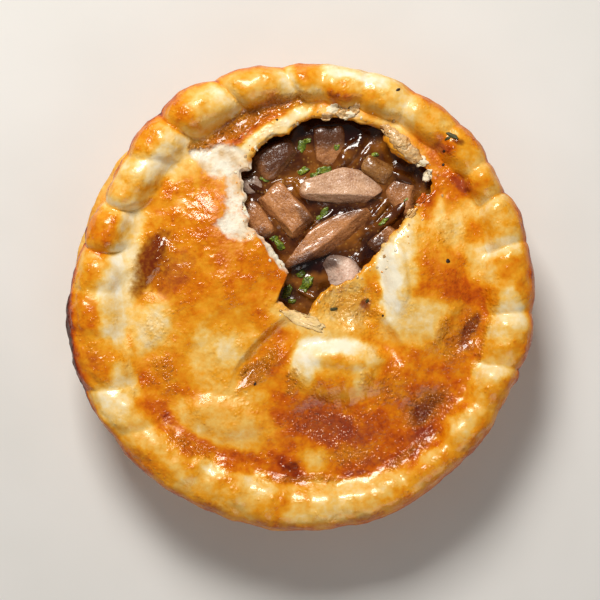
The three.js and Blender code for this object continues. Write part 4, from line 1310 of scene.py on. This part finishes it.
@dataclass(frozen=True)
class PastryFinish:
    """Baked pastry: cream to burnt brown, with amber glaze, stains and bare dough; its browning and amber
    marks also carry painted highlights and shade.
    """

    baked: tuple = (
        (0.0, paint(252, 242, 216)), (0.14, paint(248, 222, 166)), (0.28, paint(244, 194, 96)),
        (0.42, paint(238, 160, 28)), (0.56, paint(224, 126, 0)), (0.68, paint(200, 90, 0)),
        (0.8, paint(154, 50, 0)), (0.9, paint(104, 26, 2)), (1.0, paint(66, 14, 2)),
    )
    # The amber tint colours pooled glaze, and also the painted shade below the long dome.
    stains: tuple = (
        ("amber", paint(178, 104, 4), 0.8), ("mauve", paint(146, 58, 34), 0.75),
        ("maroon", paint(100, 20, 0), 0.95),
    )
    bare: Colour = paint(246, 238, 218)
    bare_shade: Colour = paint(216, 178, 124)
    egg_tint: Colour = (1.0, 0.92, 0.76, 1.0)

    def make(self) -> Finish:
        """Builds the material."""
        finish = Finish("baked pastry", IOR=1.5, Coat_Roughness=0.07, Specular_IOR_Level=0.5,
                        Specular_Tint=self.egg_tint)
        w = finish.wiring
        place = w.place()
        broad, fine = w.effect("Mottling", Vector=place, Broad=per_mm(7), Fine=per_mm(1.6))
        bake = w.sum("MULTIPLY_ADD", broad, 0.26, w.mark("bake"))
        speckled = w.sum("MULTIPLY_ADD", fine, 0.24, bake)
        ramp = w.add("ShaderNodeValToRGB", None, Fac=speckled)
        self.fill(ramp.color_ramp)
        colour = ramp.outputs["Color"]
        ragged = w.times(fine, 0.5)
        for name, tint, top in self.stains:
            colour = w.blend(colour, tint, w.span(w.plus(w.mark(name), ragged), 0.12, 0.95, 0.0, top))
        bare = w.span(w.plus(w.mark("bare"), w.times(fine, 0.7)), 0.2, 0.8)
        dough = w.blend(self.bare_shade, self.bare, w.span(broad, -0.25, 0.12))
        wash = w.times(w.mark("wash"), w.sum("SUBTRACT", 1.0, bare))
        sticky = w.sum("MAXIMUM", w.mark("amber"), w.mark("maroon"))
        rough = w.span(w.plus(wash, w.times(broad, 0.8)), 0.0, 1.0, 0.6, 0.26, "LINEAR")
        glazed = w.times(wash, w.span(bake, 0.3, 0.6, 0.0, 0.8))
        wet = w.span(w.plus(glazed, sticky), 0.0, 1.0, 1.0, 0.42)
        w.feed(finish.shader, {
            "Base Color": w.blend(colour, dough, bare),
            "Roughness": w.times(rough, wet),
            "Coat Weight": w.sum("MULTIPLY_ADD", sticky, 0.3, w.times(wash, 0.36)),
        })
        skin, = w.effect("Glaze Skin", Vector=place, Scale=per_mm(1.5), Pimples=0.5)
        crumb, = w.effect("Glaze Skin", Vector=place, Scale=per_mm(1.3), Pimples=0.5)
        patch = w.span(w.plus(broad, w.times(speckled, 0.5)), 0.1, 0.5, 0.12, 0.8)
        patch = w.plus(patch, w.times(w.mark("amber"), 1.9))
        finish.bump(w.blend(w.times(skin, patch), w.times(crumb, 0.35), bare, "FLOAT"), 0.5)
        return finish

    def fill(self, ramp: bpy.types.ColorRamp) -> None:
        """Sets the ramp's colours."""
        while len(ramp.elements) < len(self.baked):
            ramp.elements.new(0.5)
        for element, (position, colour) in zip(ramp.elements, self.baked):
            element.position = position
            element.color = colour


@dataclass(frozen=True)
class GravyFinish:
    """Thick brown gravy with a wet gloss."""

    thin: Colour = paint(148, 88, 24)
    deep: Colour = paint(78, 34, 8)
    # The colour of the painted shade under the lid's edge and between the pieces.
    painted_shade: Colour = paint(40, 8, 4)
    bits: Colour = paint(176, 128, 56)

    def make(self) -> Finish:
        """Builds the material."""
        finish = Finish("gravy", IOR=1.4, Coat_Weight=0.6, Coat_Roughness=0.06, Specular_IOR_Level=0.45,
                        Roughness=0.16)
        w = finish.wiring
        place = w.place()
        broad, fine = w.effect("Mottling", Vector=place, Broad=per_mm(9), Fine=per_mm(3))
        colour = w.blend(self.deep, self.thin, w.span(w.plus(broad, w.times(fine, 0.35)), -0.2, 0.25))
        specks, = w.effect("Specks", Vector=place, Scale=per_mm(1.3), Share=0.3)
        colour = w.blend(colour, self.bits, w.times(specks, 0.5))
        w.feed(finish.shader, {"Base Color": w.blend(colour, self.painted_shade, w.times(w.mark("soak"), 0.9))})
        skin, = w.effect("Glaze Skin", Vector=place, Scale=per_mm(3.0), Pimples=0.1)
        finish.bump(skin, 0.35)
        return finish


@dataclass(frozen=True)
class MeatFinish:
    """Braised meat under a thin wet film, in a light and a dark tone, its fibres so many mm apart."""

    name: str
    light: Colour
    dark: Colour
    fibre: float = 0.9
    # The colour of the painted shade under the lid's edge and deep in the gravy.
    painted_shade: Colour = paint(56, 18, 8)

    def make(self) -> Finish:
        """Builds the material."""
        finish = Finish(self.name, IOR=1.45, Coat_Weight=0.6, Coat_Roughness=0.12, Specular_IOR_Level=0.5)
        w = finish.wiring
        own = w.add("ShaderNodeAttribute", {"attribute_name": "own_place"}).outputs["Vector"]
        stretched = w.add("ShaderNodeMapping", None, Vector=own, Scale=(0.6, 1.0, 1.0)).outputs["Vector"]
        _, fibre = w.effect("Mottling", Vector=stretched, Broad=1 / 4.0, Fine=1 / self.fibre)
        broad, fine = w.effect("Mottling", Vector=own, Broad=1 / 5.0, Fine=1 / 0.7)
        share = w.plus(w.times(fibre, 0.5), w.plus(w.times(broad, 1.2), fine))
        colour = w.blend(self.dark, self.light, w.span(share, -0.75, 0.45))
        w.feed(finish.shader, {
            "Base Color": w.blend(colour, self.painted_shade, w.times(w.mark("soak"), 0.85)),
            "Roughness": w.span(fine, -0.3, 0.3, 0.2, 0.36, "LINEAR"),
        })
        finish.bump(w.plus(w.times(fibre, 0.3), fine), 0.3)
        return finish


def cooked_greens() -> Finish:
    """Softened green leaf in gravy."""
    finish = Finish("cooked greens", IOR=1.45, Coat_Weight=0.3, Coat_Roughness=0.15, Roughness=0.4)
    w = finish.wiring
    broad, fine = w.effect("Mottling", Vector=w.place(), Broad=per_mm(2.5), Fine=per_mm(0.7))
    share = w.span(w.plus(broad, fine), -0.2, 0.35)
    w.feed(finish.shader, {"Base Color": w.blend(paint(70, 88, 14), paint(154, 172, 44), share)})
    finish.bump(fine, 0.3)
    return finish


class Ground:
    """The upper face of a finished piece, to lay small things on."""

    def __init__(self, piece: Piece) -> None:
        """Keeps the piece's faces."""
        places = [vert.co for vert in piece.data.vertices]
        self.tree = BVHTree.FromPolygons(places, [face.vertices for face in piece.data.polygons])

    def height(self, x: float, y: float, otherwise: float) -> float:
        """The height of the face at this place in millimetres, or the other value where there is no face."""
        hit = self.tree.ray_cast(Vector((x, y, 90.0)) * MM, Vector((0, 0, -1)), 70.0 * MM)[0]
        return otherwise if hit is None else hit.z / MM


@dataclass(frozen=True)
class Bit:
    """A small thing that lies on the pie: its middle, half lengths, turn in degrees, thickness and lift."""

    x: float
    y: float
    long: float
    wide: float
    turn: float
    thick: float = 0.9
    lift: float = 0.5
    marks: tuple = ()
    ragged: float = 0.25

    def points(self, sphere: Array, ground: Ground) -> Array:
        """Presses a round ball of points into the thing's shape, on the ground below it."""
        seed = Grain(int(abs(self.x * 31 + self.y * 17)) + 1)
        outline = 1 + self.ragged * seed.cloud(sphere * np.array([1, 1, 0.4]) * 2.2, 1.6, 3)
        own = sphere * outline[:, None]
        x, y = turned(own[:, 0] * self.long, own[:, 1] * self.wide, (0.0, 0.0), -self.turn)
        x, y = self.x + x, self.y + y
        middle = ground.height(self.x, self.y, 33.0)
        floor = np.array([ground.height(px, py, middle) for px, py in zip(x, y)])
        rise = self.lift * ease(own[:, 0], -0.6, 1.0)
        return stacked(x, y, floor + rise + self.thick * own[:, 2])


class Litter:
    """Small things of one kind, joined into one mesh."""

    def __init__(self, name: str, ground: Ground, fineness: int) -> None:
        """Starts the mesh.

        Args:
            name: the name of the piece.
            ground: what the things lie on.
            fineness: how finely each one is divided.
        """
        self.name = name
        self.ground = ground
        self.fineness = fineness
        self.bm = bmesh.new()
        self.layers = {mark: self.bm.verts.layers.float.new(mark) for mark in PASTRY_MARKS}

    def add(self, bit: Bit) -> None:
        """Adds one thing."""
        made = bmesh.ops.create_icosphere(self.bm, subdivisions=self.fineness, radius=1)["verts"]
        sphere = np.array([vert.co for vert in made])
        for vert, place in zip(made, bit.points(sphere, self.ground)):
            vert.co = Vector(place) * MM
            for mark, value in bit.marks:
                vert[self.layers[mark]] = value

    def make(self) -> Piece:
        """Builds the mesh."""
        return finish_mesh(mesh_of(self.bm, self.name)[0])


# How the loose bits of pastry baked.
FLOURY = (("bake", 0.06), ("amber", 0.15), ("bare", 0.3))
TAN = (("bake", 0.16), ("amber", 0.6), ("wash", 0.4))
GOLDEN = (("bake", 0.45), ("wash", 0.3))
BROWN = (("bake", 0.72), ("amber", 0.3), ("wash", 0.4))

# Leaves of pastry that broke loose round the hole.
FLAKES = [
    Bit(1.4, -8.4, 8.4, 2.3, -24, 0.5, 0.3, (("bake", 0.2), ("amber", 0.25), ("bare", 0.3)), 0.6),
    Bit(12.0, 68.8, 2.6, 1.6, 10, 0.6, 0.3, FLOURY, 0.7),
    Bit(15.2, 67.6, 2.4, 1.8, -45, 0.7, 0.3, TAN, 0.7),
    Bit(17.6, 66.6, 2.4, 1.5, 15, 0.6, 0.4, FLOURY, 0.7),
    Bit(20.0, 68.6, 2.2, 1.6, 60, 0.6, 0.3, TAN, 0.7),
    Bit(9.6, 66.0, 2.0, 1.3, 20, 0.6, 0.3, TAN, 0.7),
    Bit(32.6, 60.6, 3.6, 2.2, -40, 0.7, 0.3, TAN, 0.6),
    Bit(36.4, 56.6, 4.2, 3.0, -52, 0.8, 0.4, TAN, 0.6),
    Bit(40.4, 52.8, 4.2, 2.7, -42, 0.8, 0.4, TAN, 0.6),
    Bit(43.8, 49.8, 2.8, 2.0, -20, 0.6, 0.3, FLOURY, 0.6),
    Bit(46.6, 44.4, 2.2, 1.5, 70, 0.6, 0.3, FLOURY, 0.7),
    Bit(44.8, 36.2, 2.2, 1.3, 50, 0.5, 0.3, BROWN, 0.7),
    Bit(40.6, 30.6, 2.2, 1.2, 40, 0.5, 0.3, TAN, 0.7),
]

# Softened green leaf that floats in the gravy.
GREENS = [
    Bit(0.6, 55.8, 2.4, 1.5, 80, 0.6, 0.2), Bit(2.6, 57.6, 1.5, 1.0, 20, 0.6, 0.2),
    Bit(13.4, 54.8, 1.7, 1.0, 60, 0.6, 0.2), Bit(8.8, 46.8, 3.2, 1.4, 12, 0.7, 0.3),
    Bit(5.4, 44.6, 1.8, 1.1, -20, 0.6, 0.2), Bit(1.2, 46.6, 2.2, 1.3, 30, 0.6, 0.3),
    Bit(9.0, 31.4, 2.0, 1.1, 50, 0.5, 0.2), Bit(7.2, 29.4, 1.3, 0.9, 20, 0.5, 0.2),
    Bit(39.2, 36.4, 1.8, 0.8, 45, 0.5, 0.2), Bit(30.8, 27.8, 2.0, 0.8, 42, 0.5, 0.2),
    Bit(-7.4, 19.2, 2.4, 1.4, -50, 0.6, 0.2), Bit(-9.4, 21.6, 1.6, 1.0, 10, 0.6, 0.2),
    Bit(2.4, 5.0, 3.2, 2.0, 60, 0.8, 0.3), Bit(0.4, 8.6, 1.8, 1.2, 20, 0.6, 0.2),
    Bit(-4.8, 1.8, 2.6, 1.5, 60, 0.6, 0.2), Bit(-3.0, -1.6, 1.5, 1.0, 0, 0.5, 0.2),
    Bit(-13.0, 43.6, 1.7, 1.0, -20, 0.5, 0.2), Bit(27.6, 52.4, 1.5, 0.8, 10, 0.5, 0.2),
]

# Ground pepper and burnt specks.
SPECKS = [
    Bit(18.2, 69.2, 0.55, 0.4, 20, 0.35, 0.1), Bit(35.7, 75.3, 0.9, 0.5, 30, 0.35, 0.1),
    Bit(39.7, 53.1, 0.6, 0.5, 0, 0.4, 0.1), Bit(44.0, 51.0, 0.5, 0.4, 70, 0.35, 0.1),
    Bit(52.4, 53.1, 0.5, 0.5, 0, 0.35, 0.1), Bit(52.4, 48.4, 0.6, 0.45, 40, 0.35, 0.1),
    Bit(-16.4, -31.7, 0.7, 0.45, 60, 0.35, 0.1), Bit(53.9, 13.1, 0.8, 0.8, 0, 0.4, 0.1),
    Bit(-8.4, 64.8, 0.4, 0.35, 0, 0.3, 0.1), Bit(30.2, -6.8, 0.45, 0.4, 30, 0.3, 0.1),
]

# Dry shreds of herb on the crust.
HERBS = [
    Bit(55.3, 58.6, 2.4, 0.8, -28, 0.5, 0.3), Bit(53.6, 57.6, 1.2, 0.5, 30, 0.4, 0.2),
    Bit(12.4, -4.4, 1.5, 0.6, 12, 0.4, 0.2), Bit(24.6, -1.4, 0.9, 0.5, 60, 0.3, 0.2),
]


def crumbs(ground: Ground, count: int = 110, seed: int = 5) -> Piece:
    """Strews crumbs of the broken pastry along the torn edge.

    Args:
        ground: the pastry that they lie on.
        count: how many there are.
        seed: the number that fixes where they fall.

    Returns:
        The new object.
    """
    draw = np.random.default_rng(seed)
    litter = Litter("pastry_crumbs", ground, 2)
    for angle in draw.random(count) * 2 * math.pi:
        reach = float(FORM.tear_reach(np.array(angle))) + draw.gamma(1.6, 1.3)
        size = 0.18 + 0.42 * draw.random() ** 2
        look = (FLOURY, TAN, TAN, GOLDEN)[draw.integers(4)]
        x, y = FORM.on_ray(angle, reach)
        litter.add(Bit(x, y, size * 1.4, size, draw.random() * 180, size * 0.8, 0.1, look, 0.5))
    return litter.make()


def strewn(name: str, bits: list[Bit], ground: Ground, fineness: int = 4) -> Piece:
    """Joins the given small things into one piece."""
    litter = Litter(name, ground, fineness)
    for bit in bits:
        litter.add(bit)
    return litter.make()


@dataclass
class Studio:
    """The plain floor, the soft light and the camera straight above the pie."""

    floor_size: float = 3000
    camera_height: float = 740
    camera_y: float = -1.1
    lens: float = 115.4
    floor_dark: Colour = paint(226, 224, 220)
    floor_light: Colour = paint(234, 232, 229)

    def build(self) -> None:
        """Makes the floor, the lights and the camera."""
        bpy.context.scene.view_settings.view_transform = "Standard"
        self.camera()
        self.floor()
        self.sky()
        self.light("key light", (106, 50), distance=900, size=290, power=7.9, colour=(1.0, 0.97, 0.92))
        self.light("front fill", (-70, 35), distance=1000, size=600, power=1.9, colour=(1.0, 0.98, 0.95))

    def camera(self) -> None:
        """Makes the camera, straight above, with the top of the picture towards +Y."""
        data = bpy.data.cameras.new("camera")
        data.lens = self.lens
        data.sensor_width = 36
        data.clip_start = 0.01
        camera = placed_object("camera", data)
        camera.location = Vector((0, self.camera_y, self.camera_height)) * MM
        bpy.context.scene.camera = camera

    def floor(self) -> None:
        """Makes the pale floor."""
        bm = bmesh.new()
        bmesh.ops.create_grid(bm, x_segments=4, y_segments=4, size=self.floor_size / 2 * MM)
        floor = placed_object("floor", mesh_of(bm, "floor")[0])
        finish = Finish("pale floor", Roughness=0.7)
        w = finish.wiring
        broad, _ = w.effect("Mottling", Vector=w.place(), Broad=per_mm(90), Fine=per_mm(9))
        colour = w.blend(self.floor_dark, self.floor_light, w.span(broad, -0.3, 0.3))
        w.feed(finish.shader, {"Base Color": colour})
        finish.dress(floor)
        floor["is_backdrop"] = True

    def sky(self) -> None:
        """Sets the even light from all round."""
        world = bpy.data.worlds.new("studio")
        world.use_nodes = True
        background = world.node_tree.nodes["Background"]
        background.inputs["Color"].default_value = (1.0, 0.97, 0.93, 1.0)
        background.inputs["Strength"].default_value = 0.14
        bpy.context.scene.world = world

    def light(self, name: str, way: tuple[float, float], distance: float, size: float, power: float,
              colour: tuple[float, float, float]) -> None:
        """Makes one soft lamp.

        Args:
            name: the lamp's name.
            way: where it stands, as azimuth and elevation in degrees.
            distance: how far off it is, in millimetres.
            size: the side of its square face, in millimetres.
            power: its power in watts.
            colour: its colour.
        """
        data = bpy.data.lights.new(name, "AREA")
        data.size = size * MM
        data.energy = power
        data.color = colour
        lamp = placed_object(name, data)
        azimuth, elevation = (math.radians(angle) for angle in way)
        direction = Vector((
            math.cos(elevation) * math.cos(azimuth),
            math.cos(elevation) * math.sin(azimuth),
            math.sin(elevation),
        ))
        lamp.location = direction * distance * MM
        lamp.rotation_euler = direction.to_track_quat("Z", "Y").to_euler()


def settle(piece: Piece, finish: Finish, slot: str, replaced: str | None = None) -> None:
    """Dresses a piece, lets it ride on the pie, and hides the CAD node that it takes the place of.

    Args:
        piece: the finished mesh object.
        finish: its material.
        slot: the slot for the material; not used.
        replaced: the CAD node that it takes the place of.
    """
    finish.dress(piece)
    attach(piece, "root")
    if replaced:
        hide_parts(replaced)
    LOG.info("%s: %d faces", piece.name, len(piece.data.polygons))


def plain(box: object) -> list:
    """A box of corners as plain lists of numbers."""
    return [[float(value) for value in corner] for corner in box]


def main() -> None:
    """Builds the pie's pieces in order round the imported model."""
    logging.basicConfig(level=logging.INFO, format="%(name)s: %(message)s")
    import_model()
    cad_box = plain(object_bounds())
    Effects()
    Studio().build()
    pastry = PastryFinish().make()
    top = PastryTop().build()
    settle(top, pastry, "crust", "crust")
    ground = Ground(top)
    settle(strewn("pastry_flakes", FLAKES, ground), pastry, "crust")
    settle(crumbs(ground), pastry, "crust")
    pepper = Finish("pepper", Base_Color=paint(46, 24, 14), Roughness=0.5)
    settle(strewn("pepper_specks", SPECKS, ground, 3), pepper, "crust")
    settle(PastryCase().build(), pastry, "crust", "crust")
    pool = Gravy().build()
    settle(pool, GravyFinish().make(), "gravy", "gravy")
    finishes = {
        "steak": MeatFinish("braised steak", paint(206, 140, 84), paint(118, 60, 24)).make(),
        "kidney": MeatFinish("braised kidney", paint(255, 226, 204), paint(194, 140, 110), 1.4).make(),
        # The centre steak's paler tone is partly a painted sheen.
        "steak_centre": MeatFinish("pale steak with painted sheen", paint(226, 180, 142), paint(156, 102, 70)).make(),
        "kidney_folded": MeatFinish("browned kidney", paint(206, 146, 76), paint(132, 76, 30), 1.4).make(),
    }
    for cut in MEAT:
        settle(cut.build(), finishes.get(cut.name, finishes[cut.kind]), cut.kind, cut.name)
    greens = cooked_greens()
    herb = Finish("dried herb", Base_Color=paint(66, 62, 20), Roughness=0.5)
    settle(strewn("herb_bits", HERBS, ground), herb, "crust")
    settle(strewn("green_leaf", [replace(bit, ragged=0.5) for bit in GREENS], Ground(pool)), greens, "gravy")
    {"cad": cad_box, "visual": plain(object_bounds())}


if __name__ == "__main__":
    main()
